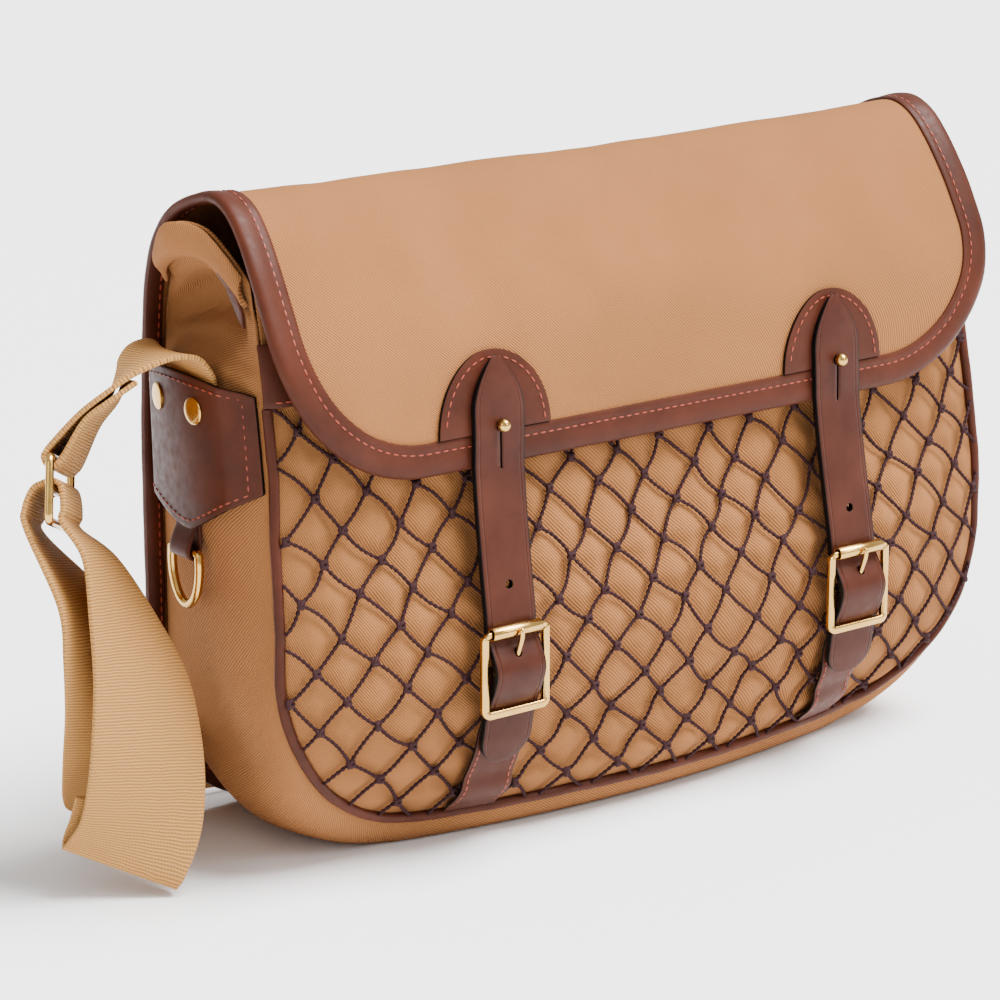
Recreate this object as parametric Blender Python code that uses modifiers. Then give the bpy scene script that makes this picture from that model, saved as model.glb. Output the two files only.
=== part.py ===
"""Canvas game bag: net front pocket, leather trim, two strapped buckles and a webbing sling."""

import math

import bmesh
import bpy
from mathutils import Matrix, Vector

MM = 0.001
GAP = 0.3 * MM
RIGHT, LEFT = 1, -1
SIDES = (("left", LEFT), ("right", RIGHT))

# Bag body: front panel, gusset, and one canvas that is both back panel and flap
HALF_WIDTH = 191 * MM
SEAM_Y = -38 * MM
SEAM_BOTTOM = 14 * MM
SEAM_RADIUS = 80 * MM
SEAM_TOP = 252 * MM
LEAN_START = 110 * MM
LEAN_DEPTH = 22 * MM
FOOT_START = 60 * MM
FOOT_DEPTH = 10 * MM
FOOT_BOW = 15.5 * MM
FOOT_BOW_REACH = 125 * MM
MOUTH_NARROWING = 4 * MM
BACK_HALF_WIDTH = 182.2 * MM
BACK_BOTTOM = 10.5 * MM
BACK_RADIUS = 57 * MM
BACK_Y = 61.5 * MM
CANVAS = 1.4 * MM
PIPING_RADIUS = 2.2 * MM

# Front panel swell at a quarter of the width: height above the floor, how far it stands out
FRONT_SWELL = (
    (14, 0.0), (30, 5.5), (48, 12.3), (67, 17.6), (86, 18.7), (104, 16.5),
    (120, 13.1), (140, 9.7), (165, 8.6), (190, 7.8), (208, 5.5), (230, 2.5), (255, 1.0),
)

# Gusset side swell at mid depth: height above the floor, how far it stands out
GUSSET_SWELL = (
    (16, 8.0), (70, 6.5), (125, 6.5), (150, 9.0), (200, 10.0), (213, 6.0), (225, -3.0),
    (239, -9.0), (250, -2.0), (259, 4.0), (275, 5.0),
)

# Gusset back edge: height above the floor, how far the canvas has come forward there
BACK_TURN = (
    (140, 0.2), (165, 1.0), (190, 2.2), (212, 4.0), (226, 5.6), (246, 9.9), (256, 13.9),
)
GUSSET_SIDE_ARCH = 0.7
GUSSET_COLUMNS = 36
GUSSET_ROWS = 6
GUSSET_BOTTOM_SWELL = 18 * MM

# Outer face of the back and flap canvas, from the foot of the back to the flap's lower edge
PROFILE = (
    # depth, height
    (61.5, 2.0), (61.5, 60), (61.5, 130), (60.2, 190), (57.3, 226), (53.6, 246),
    (47.2, 260.5), (38.5, 270), (23.5, 277.3), (9.0, 280.3), (-3.0, 276.3), (-13.0, 266.7),
    (-22.0, 254.5), (-30.0, 241), (-36.3, 229), (-41.0, 217), (-43.8, 205), (-45.5, 187),
    (-46.2, 168),
)
PANEL_HALF_WIDTH = 190.4 * MM
FLAP_RADIUS = 66 * MM
FOOT_RADIUS = 65 * MM
PANEL_COLUMNS = 10
ARC_STEPS = 5
RIDGE_PINCH = 0.012
RIDGE_SPREAD = 40 * MM
RIDGE_SAG = 2.2 * MM
FLAP_SWELL = 2.5 * MM

# Leather trim
BINDING_WIDTH = 12.5 * MM
BINDING_TUCK = 6.5 * MM
BINDING_LEATHER = 1.0 * MM
BAND_LOW = 200.5 * MM
BAND_HIGH = 225.5 * MM
LEATHER = 1.8 * MM
TAB_LIFTS = {LEFT: 1.2 * MM, RIGHT: 0.45 * MM}

# Net pocket: coarse diamonds, cut through
NET_COLUMNS = 16
NET_ROWS = 8
NET_STRAND = 1.5 * MM
NET_THICKNESS = 1.3 * MM
NET_LIFT = 1.2 * MM
NET_LOW = 17.6 * MM
NET_HIGH = 198.5 * MM

# Fastening straps
STRAP_X = 91.6 * MM
STRAP_SPLAY = 5 * MM
STRAP_WIDTH = 25 * MM
STRAP_THICKNESS = 2.6 * MM
STUD_Z = 184 * MM
BUCKLE_Z = 84 * MM
BUCKLE_Y = -66.5 * MM
BUCKLE_HALF_WIDTH = 15.6 * MM
BUCKLE_HALF_HEIGHT = 17.2 * MM
BAR_SET_BACK = 2.0 * MM
BUCKLE_WIRE = 1.7 * MM
CENTRE_BAR = 1.4 * MM
ROLLER_OUTER = 2.7 * MM
ROLLER_INNER = 2.1 * MM
ROLLER_LENGTH = 25 * MM
PRONG_WIRE = 1.1 * MM
CHAPE_WIDTH = 23 * MM
CHAPE_THICKNESS = 1.0 * MM
# Depth and height of a chape's front leaf below the buckle's bar, and of its short back leaf
CHAPE_FRONT = ((-59.7, 63), (-61.8, 70), (-65.4, 77))
CHAPE_BEHIND = ((-62.0, 77), (-60.4, 70), (-59.2, 66))

# Heights of a fastening strap's rows on the flap, then depth and height of those below it
STRAP_ON_FLAP = (211, 207.5, 203, 197, 190, 182, 174, 166.5)
STRAP_BELOW_FLAP = (
    (-53.4, 152), (-56.0, 136), (-59.0, 119), (-61.4, 106), (-61.8, 101), (-63.6, 96),
    (-66.2, 92), (-68.4, 88), (-69.4, 83.5), (-67.6, 77), (-64.9, 71), (-62.4, 65),
    (-60.4, 54), (-58.9, 48.5), (-57.9, 45.2), (-57.2, 43),
)
STUD_PATCH_LEATHER = 1.4 * MM
STUD_NECK = 1.5 * MM
STUD_NECK_LENGTH = 3.0 * MM
STUD_BALL = 2.8 * MM
SLIT_LENGTH = 17 * MM
SPARE_HOLE_Z = 119 * MM

# Side patches, rivets and rings
PATCH_TOP = 209.5 * MM
PATCH_TOP_DROP = 5 * MM
PATCH_FRONT_LOW = 169.5 * MM
PATCH_POINT = 145 * MM
PATCH_ROOM = 4.8 * MM
PATCH_LEATHER = 2.0 * MM
RIVET_Z = 195.5 * MM
RIVET_DEPTHS = (("front", 5 * MM), ("back", 34 * MM))
RIVET_RADIUS = 5.6 * MM
RING_Y = 18.5 * MM
RING_X = 198.6 * MM
RING_Z = 134 * MM
RING_WIRE = 1.9 * MM
RING_HALF_WIDTH = 10.2 * MM
RING_DROP = 23 * MM
TAB_WIDTH = 14 * MM

# Shoulder sling: webbing, and the slider that joins its two lengths
WEB_WIDTH = 50 * MM
WEB_THICKNESS = 2.2 * MM
SLIDER_CENTRE = Vector((-248.5, 32, 163)) * MM
SLIDER_ALONG = Vector((0.591, 0.730, -0.342)).normalized()
SLIDER_DOWN = Vector((-0.215, -0.266, -0.940))
SLIDER_HALF_LENGTH = 29 * MM
SLIDER_HALF_HEIGHT = 12.7 * MM
SLIDER_WIRE = 1.75 * MM

# Webbing rows: centre x, y, z; width direction x, y, z; how far the middle bows out
ANCHOR_ROUTE = [
    (-194.2, 21, 184, 0.10, 0.995, 0, -3.2),
    (-194.2, 21, 206.5, 0.10, 0.995, 0, -3.2),
    (-196, 21.5, 213.5, 0.12, 0.99, 0, -2.8),
    (-201.5, 21.5, 217.5, 0.12, 0.99, -0.06, -1.5),
    (-209.5, 22, 217.5, 0.16, 0.98, -0.12, -0.5),
    (-216.5, 22.5, 214.5, 0.26, 0.96, -0.18, 0),
    (-222.5, 23.5, 209.5, 0.42, 0.88, -0.22, 0),
    (-229.5, 25.5, 202, 0.55, 0.80, -0.25, 0),
    (-236.5, 30.5, 193, 0.58, 0.76, -0.30, 0),
]
ANCHOR_RETURN = [
    (-235.0, 28.4, 190.8, 0.58, 0.76, -0.30, 0),
    (-227.7, 23.4, 199.8, 0.55, 0.80, -0.25, 0),
    (-220.3, 21.8, 207.3, 0.42, 0.88, -0.22, 0),
]
SLING_ROUTE = [
    (194.2, 21, 184, 0.10, -0.995, 0, -3.2),
    (194.2, 21, 206.5, 0.10, -0.995, 0, -3.2),
    (196, 21.5, 213.5, 0.12, -0.99, 0, -2.8),
    (202, 23, 217.5, 0.10, -0.99, 0, -1.5),
    (211, 26, 217.5, 0.0, -1, 0.05, -0.5),
    (218, 32, 210, -0.05, -1, 0.15, 0),
    (222, 43, 190, -0.1, -0.95, 0.3, 0),
    (221, 61, 150, -0.1, -0.75, 0.6, 0),
    (208, 80, 105, -0.1, -0.4, 0.9, 0),
    (180, 87, 62, -0.1, -0.15, 1, 0),
    (135, 82, 35, 0, 0, 1, 0),
    (75, 75, 27, 0, 0, 1, 0),
    (0, 72, 26, 0, 0, 1, 0),
    (-75, 73, 26, 0, 0, 1, 0),
    (-135, 77, 27, 0, 0, 1, 0),
    (-175, 78, 30, 0.05, 0, 1, 0),
    (-201, 67, 33, 0.3, -0.15, 0.9, 0),
    (-213, 49, 33, 0.62, -0.33, 0.65, 0),
    (-226, 28, 35, 0.84, -0.4, 0.2, 0),
    (-235, 12, 52, 0.93, -0.3, -0.1, 0),
    (-239, 7, 76, 0.98, -0.03, -0.17, 0),
    (-243, 10, 98, 0.93, 0.3, -0.2, 0),
    (-247, 17, 120, 0.8, 0.53, -0.24, 0),
]
SLING_FRONT = [
    (-240, 17, 138, 0.69, 0.67, -0.28, 0),
    (-237, 6, 116, 0.86, 0.46, -0.22, 0),
    (-234, -2, 92, 0.97, 0.17, -0.2, 0),
    (-235, -7, 68, 0.99, -0.05, -0.16, 0),
    (-237, -9, 48, 0.96, -0.22, -0.14, 0),
    (-240, -8.5, 31, 0.92, -0.35, -0.2, 0),
    (-245, -5.5, 18, 0.82, -0.45, -0.36, 0),
    (-246.6, -3.5, 14.4, 0.80, -0.45, -0.40, 0),
    (-245.5, -0.8, 13.4, 0.80, -0.45, -0.40, 0),
    (-243.8, 0.9, 16.5, 0.80, -0.45, -0.40, 0),
    (-240.5, -0.5, 27, 0.88, -0.38, -0.3, 0),
    (-237.8, -1.6, 40, 0.93, -0.28, -0.2, 0),
]


def material(name, colour, roughness, metallic=0.0):
    made = bpy.data.materials.new(name)
    made.use_nodes = True
    shader = made.node_tree.nodes["Principled BSDF"]
    shader.inputs["Base Color"].default_value = (*colour, 1.0)
    shader.inputs["Roughness"].default_value = roughness
    shader.inputs["Metallic"].default_value = metallic
    return made


def collection(name):
    made = bpy.data.collections.new(name)
    bpy.context.scene.collection.children.link(made)
    return made


def add_mesh(name, mesh_builder, finish, group=None):
    """Turn a filled bmesh into a named object."""
    mesh = bpy.data.meshes.new(name)
    mesh_builder.to_mesh(mesh)
    mesh_builder.free()
    made = bpy.data.objects.new(name, mesh)
    mesh.materials.append(finish)
    (group or PARTS).objects.link(made)
    return made


def smooth(value):
    value = min(max(value, 0.0), 1.0)
    return value * value * (3 - 2 * value)


def look_up(table, height):
    """Smoothly read a two-column millimetre table, giving metres."""
    height /= MM
    for (low, first), (high, second) in zip(table, table[1:]):
        if height <= high:
            share = smooth((height - low) / (high - low))
            return (first + (second - first) * share) * MM
    return table[-1][1] * MM


def spline(points, steps):
    """Points along a Catmull-Rom curve through the given vectors."""
    points = [points[0] * 2 - points[1], *points, points[-1] * 2 - points[-2]]
    made = []
    for i in range(1, len(points) - 2):
        before, start, end, after = points[i - 1:i + 3]
        for k in range(steps):
            t = k / steps
            made.append(0.5 * (2 * start + (end - before) * t
                               + (2 * before - 5 * start + 4 * end - after) * t ** 2
                               + (3 * start - before - 3 * end + after) * t ** 3))
    made.append(points[-2].copy())
    return made


class Route:
    """A smooth line that can be read at any length along it."""

    def __init__(self, points, steps=8):
        self.points = spline(points, steps)
        self.lengths = [0.0]
        for first, second in zip(self.points, self.points[1:]):
            self.lengths.append(self.lengths[-1] + (second - first).length)
        self.length = self.lengths[-1]

    def at(self, length):
        """The point at a length, carried straight on beyond either end."""
        last = len(self.lengths) - 1
        i = next((k for k in range(1, last) if length <= self.lengths[k]), last)
        share = (length - self.lengths[i - 1]) / (self.lengths[i] - self.lengths[i - 1])
        return self.points[i - 1].lerp(self.points[i], share)

    def heading(self, length):
        reach = 1.0 * MM
        return (self.at(length + reach) - self.at(length - reach)).normalized()


def sheet(name, place, columns, rows, thickness, finish, offset=-1.0):
    """A wall of even thickness: a grid laid on a surface, then given Solidify."""
    made = bmesh.new()
    bmesh.ops.create_grid(made, x_segments=columns, y_segments=rows, size=0.5)
    for vertex in made.verts:
        vertex.co = place(vertex.co.x + 0.5, vertex.co.y + 0.5)
    wall = add_mesh(name, made, finish)
    add_thickness(wall, thickness, offset)
    return wall


def add_thickness(wall, thickness, offset):
    solid = wall.modifiers.new("Thickness", "SOLIDIFY")
    solid.thickness = thickness
    solid.offset = offset
    solid.use_even_offset = True


def closed_loft(name, place, around, along, finish, ring=True):
    """A solid swept round a closed section; a ring joins its ends, else they are capped."""
    made = bmesh.new()
    bmesh.ops.create_grid(made, x_segments=around, y_segments=along, size=0.5)
    for vertex in made.verts:
        vertex.co = place((vertex.co.x + 0.5) % 1.0, vertex.co.y + 0.5)
    bmesh.ops.remove_doubles(made, verts=made.verts, dist=1e-6)
    if not ring:
        bmesh.ops.holes_fill(made, edges=[e for e in made.edges if e.is_boundary], sides=0)
    bmesh.ops.recalc_face_normals(made, faces=made.faces)
    return add_mesh(name, made, finish)


def wire(name, points, radius, finish, cyclic=False, sides=2, group=None):
    """A round wire along points; sides is the curve's bevel resolution."""
    curve = bpy.data.curves.new(name, "CURVE")
    curve.dimensions = "3D"
    curve.bevel_depth = radius
    curve.bevel_resolution = sides
    curve.use_fill_caps = True
    line = curve.splines.new("POLY")
    line.points.add(len(points) - 1)
    for slot, point in zip(line.points, points):
        slot.co = (*point, 1.0)
    line.use_cyclic_u = cyclic
    made = bpy.data.objects.new(name, curve)
    curve.materials.append(finish)
    (group or PARTS).objects.link(made)
    return made


def as_mesh(curve_object, finish, group):
    """Make a curve object a mesh with welded caps, so that it can be cut or joined."""
    bpy.context.view_layer.update()
    evaluated = curve_object.evaluated_get(bpy.context.evaluated_depsgraph_get())
    mesh = bpy.data.meshes.new_from_object(evaluated)
    welded = bmesh.new()
    welded.from_mesh(mesh)
    bmesh.ops.remove_doubles(welded, verts=welded.verts, dist=1e-6)
    bmesh.ops.recalc_face_normals(welded, faces=welded.faces)
    name = curve_object.name
    place = curve_object.matrix_world.copy()
    bpy.data.objects.remove(curve_object)
    made = add_mesh(name, welded, finish, group)
    made.matrix_world = place
    return made


def cut(target, cutter, operation="DIFFERENCE"):
    cutter.hide_render = True
    cutter.display_type = "WIRE"
    boolean = target.modifiers.new(operation.title(), "BOOLEAN")
    boolean.operation = operation
    boolean.object = cutter


def turned(name, profile, place, finish, steps=16, closed=False):
    """A turned piece: an outline of radius and height, spun about its own Z."""
    made = bmesh.new()
    rim = [made.verts.new((radius, 0.0, height)) for radius, height in profile]
    for first, second in zip(rim, rim[1:] + rim[:1] * closed):
        made.edges.new((first, second))
    piece = add_mesh(name, made, finish)
    screw = piece.modifiers.new("Turn", "SCREW")
    screw.steps = steps
    screw.render_steps = steps
    screw.use_merge_vertices = True
    screw.merge_threshold = 0.01 * MM
    piece.matrix_world = place
    return piece


def facing(direction, position):
    """A placement whose Z axis points along a direction."""
    return Matrix.Translation(position) @ direction.to_track_quat("Z", "Y").to_matrix().to_4x4()


def corner_half_width(height, half_width, bottom, radius):
    """Half width of an outline with round lower corners, at a height."""
    rise = height - bottom
    if rise >= radius:
        return half_width
    return half_width - radius + math.sqrt(max(radius ** 2 - (radius - rise) ** 2, 0.0))


def seam_y(height):
    """Depth of the front seam, which leans back towards the mouth and the foot."""
    lean = max(0.0, (height - LEAN_START) / (SEAM_TOP - LEAN_START))
    foot = max(0.0, (FOOT_START - height) / (FOOT_START - SEAM_BOTTOM))
    return SEAM_Y + LEAN_DEPTH * lean ** 1.3 + FOOT_DEPTH * foot ** 2


def mouth_narrowing(height):
    """How much the front seam has drawn in at a height."""
    return MOUTH_NARROWING * smooth((height - LEAN_START) / (90 * MM))


def seam_half_width(height, inset=0.0):
    """Half width of the front seam's outline at a height."""
    square = corner_half_width(height, HALF_WIDTH - inset, SEAM_BOTTOM + inset,
                               SEAM_RADIUS - inset)
    return square - mouth_narrowing(height)


def seam_line_y(x, height):
    """Depth of the front seam at a point on it: along the foot it bows out to the front."""
    bow = max(0.0, 1 - (x / FOOT_BOW_REACH) ** 2)
    low = smooth((56 * MM - height) / (56 * MM - SEAM_BOTTOM))
    return seam_y(height) - FOOT_BOW * bow * low


def front_y(x, height):
    """Depth of the front panel's outer face."""
    across = min(abs(x) / max(seam_half_width(height), MM), 1.0)
    swell = look_up(FRONT_SWELL, height) * 1.19 * (1 - across ** 2) ** 0.6
    return seam_line_y(x, height) - swell


def front_rows(share, low, high):
    """Heights closer together in the round corners."""
    bend = SEAM_BOTTOM + SEAM_RADIUS
    split = 0.5
    if share < split:
        return low + (bend - low) * (share / split) ** 1.5
    return bend + (high - bend) * (share - split) / (1 - split)


def front_x(share, reach):
    """Columns across the front, closer together towards its sides."""
    return math.sin((share - 0.5) * math.pi * 0.8) / math.sin(math.pi * 0.4) * reach


def front_place(lift, low, high, inset):
    def place(u, v):
        height = front_rows(v, low, high)
        x = front_x(u, seam_half_width(height, inset))
        return Vector((x, front_y(x, height) - lift, height))
    return place


FRONT_INSET = PIPING_RADIUS + 4 * GAP


def front_panel():
    """The canvas behind the net, with the net's own rows, and more above them to the mouth."""
    place = front_place(0.0, NET_LOW, NET_HIGH, FRONT_INSET)
    above = ((BAND_LOW + BAND_HIGH) / 2, BAND_HIGH, SEAM_TOP - 6 * MM)

    def with_mouth(u, v):
        row = round(v * (NET_ROWS + len(above)))
        if row <= NET_ROWS:
            return place(u, row / NET_ROWS)
        height = above[row - NET_ROWS - 1]
        x = front_x(u, seam_half_width(height, FRONT_INSET))
        return Vector((x, front_y(x, height), height))
    sheet("front_panel", with_mouth, NET_COLUMNS, NET_ROWS + len(above), CANVAS, CANVAS_CLOTH,
          -1.0)


class Outline:
    """The U of a seam seen from the front: down one side, round the foot, up the other."""

    def __init__(self, half_width, bottom, radius, narrows=False):
        self.half_width = half_width
        self.narrows = narrows
        self.bottom = bottom
        self.radius = radius

    def at(self, share, top):
        """Point and outward direction in the X-Z plane, share running 0 to 1."""
        side = LEFT if share < 0.5 else RIGHT
        near = min(share, 1 - share) * 2
        straight, bend = 0.45, 0.8
        shoulder = self.bottom + self.radius
        if near <= straight:
            down = near / straight
            height = top + (shoulder - top) * down * (0.55 + 0.45 * down)
            x = self.half_width - mouth_narrowing(height) * self.narrows
            return Vector((side * x, 0, height)), Vector((side, 0, 0))
        if near <= bend:
            angle = (near - straight) / (bend - straight) * math.pi / 2
            way = Vector((side * math.cos(angle), 0, -math.sin(angle)))
            centre = Vector((side * (self.half_width - self.radius), 0, shoulder))
            return centre + way * self.radius, way
        flat = self.half_width - self.radius
        return Vector((side * flat * (1 - near) / (1 - bend), 0, self.bottom)), Vector((0, 0, -1))


FRONT_OUTLINE = Outline(HALF_WIDTH, SEAM_BOTTOM, SEAM_RADIUS, narrows=True)
BACK_OUTLINE = Outline(BACK_HALF_WIDTH, BACK_BOTTOM, BACK_RADIUS)
GUSSET_BACK_Y = BACK_Y - CANVAS - GAP


def back_seam_y(height):
    """Depth of the gusset's back edge, which follows the canvas as it turns over."""
    return GUSSET_BACK_Y - look_up(BACK_TURN, max(height, BACK_TURN[0][0] * MM))


def rim_height(depth_share):
    """Height of the gusset's rim, arched under the flap from the front (0) to the back (1)."""
    return (249 + 22 * math.sin(math.pi * depth_share * 0.97) ** 0.8 - 3 * depth_share) * MM


def gusset_point(share, depth_share, lift=0.0):
    """A point on the gusset's outer face."""
    top = rim_height(depth_share)
    front, front_out = FRONT_OUTLINE.at(share, top)
    back, back_out = BACK_OUTLINE.at(share, top)
    out = front_out.lerp(back_out, depth_share).normalized()
    point = front.lerp(back, depth_share)
    side_arch = math.sin(math.pi * depth_share) ** GUSSET_SIDE_ARCH
    foot_arch = math.sin(math.pi * depth_share)
    if depth_share < 0.5:
        foot_arch = math.sqrt(1 - (2 * depth_share - 1) ** 4)
    down = smooth(-out.z)
    side = look_up(GUSSET_SWELL, max(point.z, SEAM_BOTTOM + SEAM_RADIUS))
    swell = side * side_arch * (1 - down) + GUSSET_BOTTOM_SWELL * foot_arch * down
    point += out * (swell + lift)
    start = seam_line_y(front.x, front.z) + PIPING_RADIUS + 1.5 * GAP
    point.y = start + (back_seam_y(back.z) - start) * depth_share
    point.z = max(point.z, 0.0)
    return point


def gusset_row(share):
    """Rows across the gusset's depth, closer together at its two seams."""
    return (1 - math.cos(math.pi * share)) / 2


def gusset():
    sheet("gusset", lambda u, v: gusset_point(u, gusset_row(1 - v)), GUSSET_COLUMNS, GUSSET_ROWS,
          CANVAS, CANVAS_CLOTH, -1.0)


PANEL = Route([Vector((0, depth, height)) * MM for depth, height in PROFILE])
RIDGE = next(PANEL.lengths[i] for i, p in enumerate(PANEL.points) if p.y < 9.2 * MM)
FRONT_START = RIDGE + 45 * MM


def panel_point(across, along, lift=0.0):
    """A point on the back and flap canvas: across its width, along its length, above its face."""
    base = PANEL.at(along)
    heading = PANEL.heading(along)
    normal = Vector((0, heading.z, -heading.y))
    away = (along - RIDGE) / RIDGE_SPREAD
    on_ridge = math.exp(-away ** 2)
    centre = 1 - (across / PANEL_HALF_WIDTH) ** 2
    on_flap = smooth((along - FRONT_START) / (40 * MM))
    point = base + normal * (lift + FLAP_SWELL * centre * on_flap)
    point.z -= RIDGE_SAG * centre * on_ridge
    point.x = across * (1 - RIDGE_PINCH * on_ridge)
    return point


def panel_half_width(along, inset=0.0):
    """Half width of the panel, narrower in its round corners."""
    foot = corner_half_width(along, PANEL_HALF_WIDTH - inset, inset, FOOT_RADIUS - inset)
    hem = corner_half_width(PANEL.length - along, PANEL_HALF_WIDTH - inset, inset,
                            FLAP_RADIUS - inset)
    return min(foot, hem)


def quarter_rows(radius):
    """Rows of a round corner, from its edge inwards."""
    return [radius * (1 - math.cos(math.pi / 2 * k / ARC_STEPS)) for k in range(ARC_STEPS)]


def even_rows(low, high, count):
    return [low + (high - low) * k / count for k in range(count)]


BEND_START = RIDGE - 62 * MM
FLAP_CORNER = PANEL.length - FLAP_RADIUS
PANEL_ROWS = (quarter_rows(FOOT_RADIUS) + even_rows(FOOT_RADIUS, BEND_START, 3)
              + even_rows(BEND_START, FLAP_CORNER, 11)
              + [FLAP_CORNER]
              + [PANEL.length - row for row in reversed(quarter_rows(FLAP_RADIUS))])


def back_and_flap():
    last = len(PANEL_ROWS) - 1

    def place(u, v):
        along = PANEL_ROWS[round(v * last)]
        return panel_point((1 - u * 2) * panel_half_width(along), along)
    sheet("back_and_flap", place, PANEL_COLUMNS, last, CANVAS, CANVAS_CLOTH, -1.0)


def panel_outline():
    """Points round the flat panel's edge at its own rows and columns, each with its way out."""
    half, length = PANEL_HALF_WIDTH, PANEL.length
    side_rows = [row for row in PANEL_ROWS if FOOT_RADIUS <= row <= FLAP_CORNER]
    loop = []

    def line(start, end, way):
        for k in range(PANEL_COLUMNS):
            loop.append((Vector(start).lerp(Vector(end), k / PANEL_COLUMNS), Vector(way)))

    def arc(x, y, radius, first):
        for k in range(ARC_STEPS):
            angle = math.radians(first + 90 * k / ARC_STEPS)
            way = Vector((math.cos(angle), math.sin(angle)))
            loop.append((Vector((x, y)) + way * radius, way))

    foot, hem = half - FOOT_RADIUS, half - FLAP_RADIUS
    line((-foot, 0), (foot, 0), (0, -1))
    arc(foot, FOOT_RADIUS, FOOT_RADIUS, -90)
    loop += [(Vector((half, row)), Vector((1, 0))) for row in side_rows[:-1]]
    arc(hem, FLAP_CORNER, FLAP_RADIUS, 0)
    line((hem, length), (-hem, length), (0, 1))
    arc(-hem, FLAP_CORNER, FLAP_RADIUS, 90)
    loop += [(Vector((-half, row)), Vector((-1, 0))) for row in side_rows[:0:-1]]
    arc(-foot, FOOT_RADIUS, FOOT_RADIUS, 180)
    return loop


def binding():
    """Leather folded over the panel's edge all the way round, a channel in section."""
    under = -CANVAS - 2 * GAP
    outer, inner = GAP + BINDING_LEATHER, under - BINDING_LEATHER
    nose = GAP + BINDING_LEATHER
    section = (
        # how far in from the edge, how far above the canvas face
        (BINDING_WIDTH, 2 * GAP), (BINDING_WIDTH, outer + GAP), (0.0, outer),
        (-nose, (outer + inner) / 2),
        (0.0, inner), (BINDING_TUCK, inner), (BINDING_TUCK, under),
        (-GAP, under), (-GAP, GAP),
    )
    loop = panel_outline()

    def place(u, v):
        inward, lift = section[round(u * len(section)) % len(section)]
        edge, out = loop[round(v * len(loop)) % len(loop)]
        flat = edge - out * inward
        return panel_point(flat.x, flat.y, lift)
    closed_loft("binding", place, len(section), len(loop), LEATHER_BROWN)


def piping():
    points = []
    for i in range(GUSSET_COLUMNS + 1):
        point, _ = FRONT_OUTLINE.at(i / GUSSET_COLUMNS, BAND_LOW - 3 * MM)
        point.y = seam_line_y(point.x, point.z)
        points.append(point)
    wire("front_piping", points, PIPING_RADIUS, LEATHER_BROWN, sides=1)


def convex(face):
    """Whether every corner of a face turns the same way, seen from the front."""
    points = [vertex.co for vertex in face.verts]
    turns = [(points[k] - points[k - 1]).cross(points[k - 2] - points[k - 1]).y
             for k in range(len(points))]
    return min(turns) > 0 or max(turns) < 0


def net():
    """Diamond net: each cell is inset and its middle taken out, then given its thickness."""
    place = front_place(NET_LIFT, NET_LOW, NET_HIGH, FRONT_INSET)
    made = bmesh.new()
    knots = {}

    def knot(i, j):
        i, j = min(max(i, 0), NET_COLUMNS), min(max(j, 0), NET_ROWS)
        if (i, j) not in knots:
            knots[i, j] = made.verts.new(place(i / NET_COLUMNS, j / NET_ROWS))
        return knots[i, j]

    for i in range(NET_COLUMNS + 1):
        for j in range(NET_ROWS + 1):
            if (i + j) % 2 == 1:
                ring = (knot(i, j - 1), knot(i + 1, j), knot(i, j + 1), knot(i - 1, j))
                corners = [v for k, v in enumerate(ring) if v is not ring[k - 1]]
                if len(set(corners)) > 2:
                    made.faces.new(list(dict.fromkeys(corners)))
    made.normal_update()
    folded = [face for face in made.faces if not convex(face)]
    bmesh.ops.delete(made, geom=folded, context="FACES")
    cells = [face for face in made.faces
             if 2 * face.calc_area() / face.calc_perimeter() > 1.5 * NET_STRAND]
    bmesh.ops.inset_individual(made, faces=cells, thickness=NET_STRAND, use_even_offset=True)
    bmesh.ops.delete(made, geom=cells, context="FACES_ONLY")
    wall = add_mesh("net_pocket", made, NET_TWINE)
    add_thickness(wall, NET_THICKNESS, 1.0)


def net_band():
    """Leather band along the net's top edge."""
    def place(u, v):
        height = BAND_LOW + (BAND_HIGH - BAND_LOW) * v
        x = front_x(u, seam_half_width(height) + 0.5 * MM)
        return Vector((x, front_y(x, height) - 2 * GAP, height))
    sheet("net_band", place, NET_COLUMNS, 2, LEATHER, LEATHER_BROWN, 1.0)


def mouth_tabs():
    """Small leather corners at the two ends of the mouth, flat on the gusset's first facet."""
    for label, side in SIDES:
        shares = [0.0, 1 / GUSSET_COLUMNS] if side == LEFT else [1.0, 1 - 1 / GUSSET_COLUMNS]
        top, low = [[gusset_point(share, gusset_row(row / GUSSET_ROWS)) for row in (1, 2)]
                    for share in shares]
        out = (top[1] - top[0]).cross(low[0] - top[0]).normalized()
        out = out if out.x * side > 0 else -out

        def place(u, v, side=side, top=top, low=low, out=out):
            across = (u if side == RIGHT else 1 - u) * (0.5 + 0.5 * v)
            down = 1 - 0.96 * v
            return (top[0].lerp(top[1], across).lerp(low[0].lerp(low[1], across), down)
                    + out * TAB_LIFTS[side])
        sheet(f"mouth_tab_{label}", place, 1, 1, 1.2 * MM, LEATHER_BROWN, 1.0)


def patch_x(depth, height, lift=0.0):
    """How far out the side patch stands at a depth: over the gusset, with room for webbing."""
    start = seam_y(height) + PIPING_RADIUS + GAP
    share = (depth - start) / (GUSSET_BACK_Y - start)
    front = seam_half_width(height)
    edge = front + (BACK_HALF_WIDTH - front) * share
    arch = math.sin(math.pi * min(max(share, 0), 1)) ** GUSSET_SIDE_ARCH
    swell = look_up(GUSSET_SWELL, min(height, 200 * MM)) * arch
    from_edge = min(share, 1 - share)
    room = PATCH_ROOM * smooth((from_edge - 0.03) / 0.15)
    return edge + swell + 0.6 * MM + room + lift


def patch_low(depth):
    """Lower edge of the side patch: a blunt point between two rising edges."""
    centre = 11 * MM
    reach = 40 * MM if depth < centre else 90 * MM
    away = math.sqrt(((depth - centre) / reach) ** 2 + 0.02)
    return PATCH_POINT - 3 * MM + (PATCH_FRONT_LOW - PATCH_POINT) * away


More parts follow.
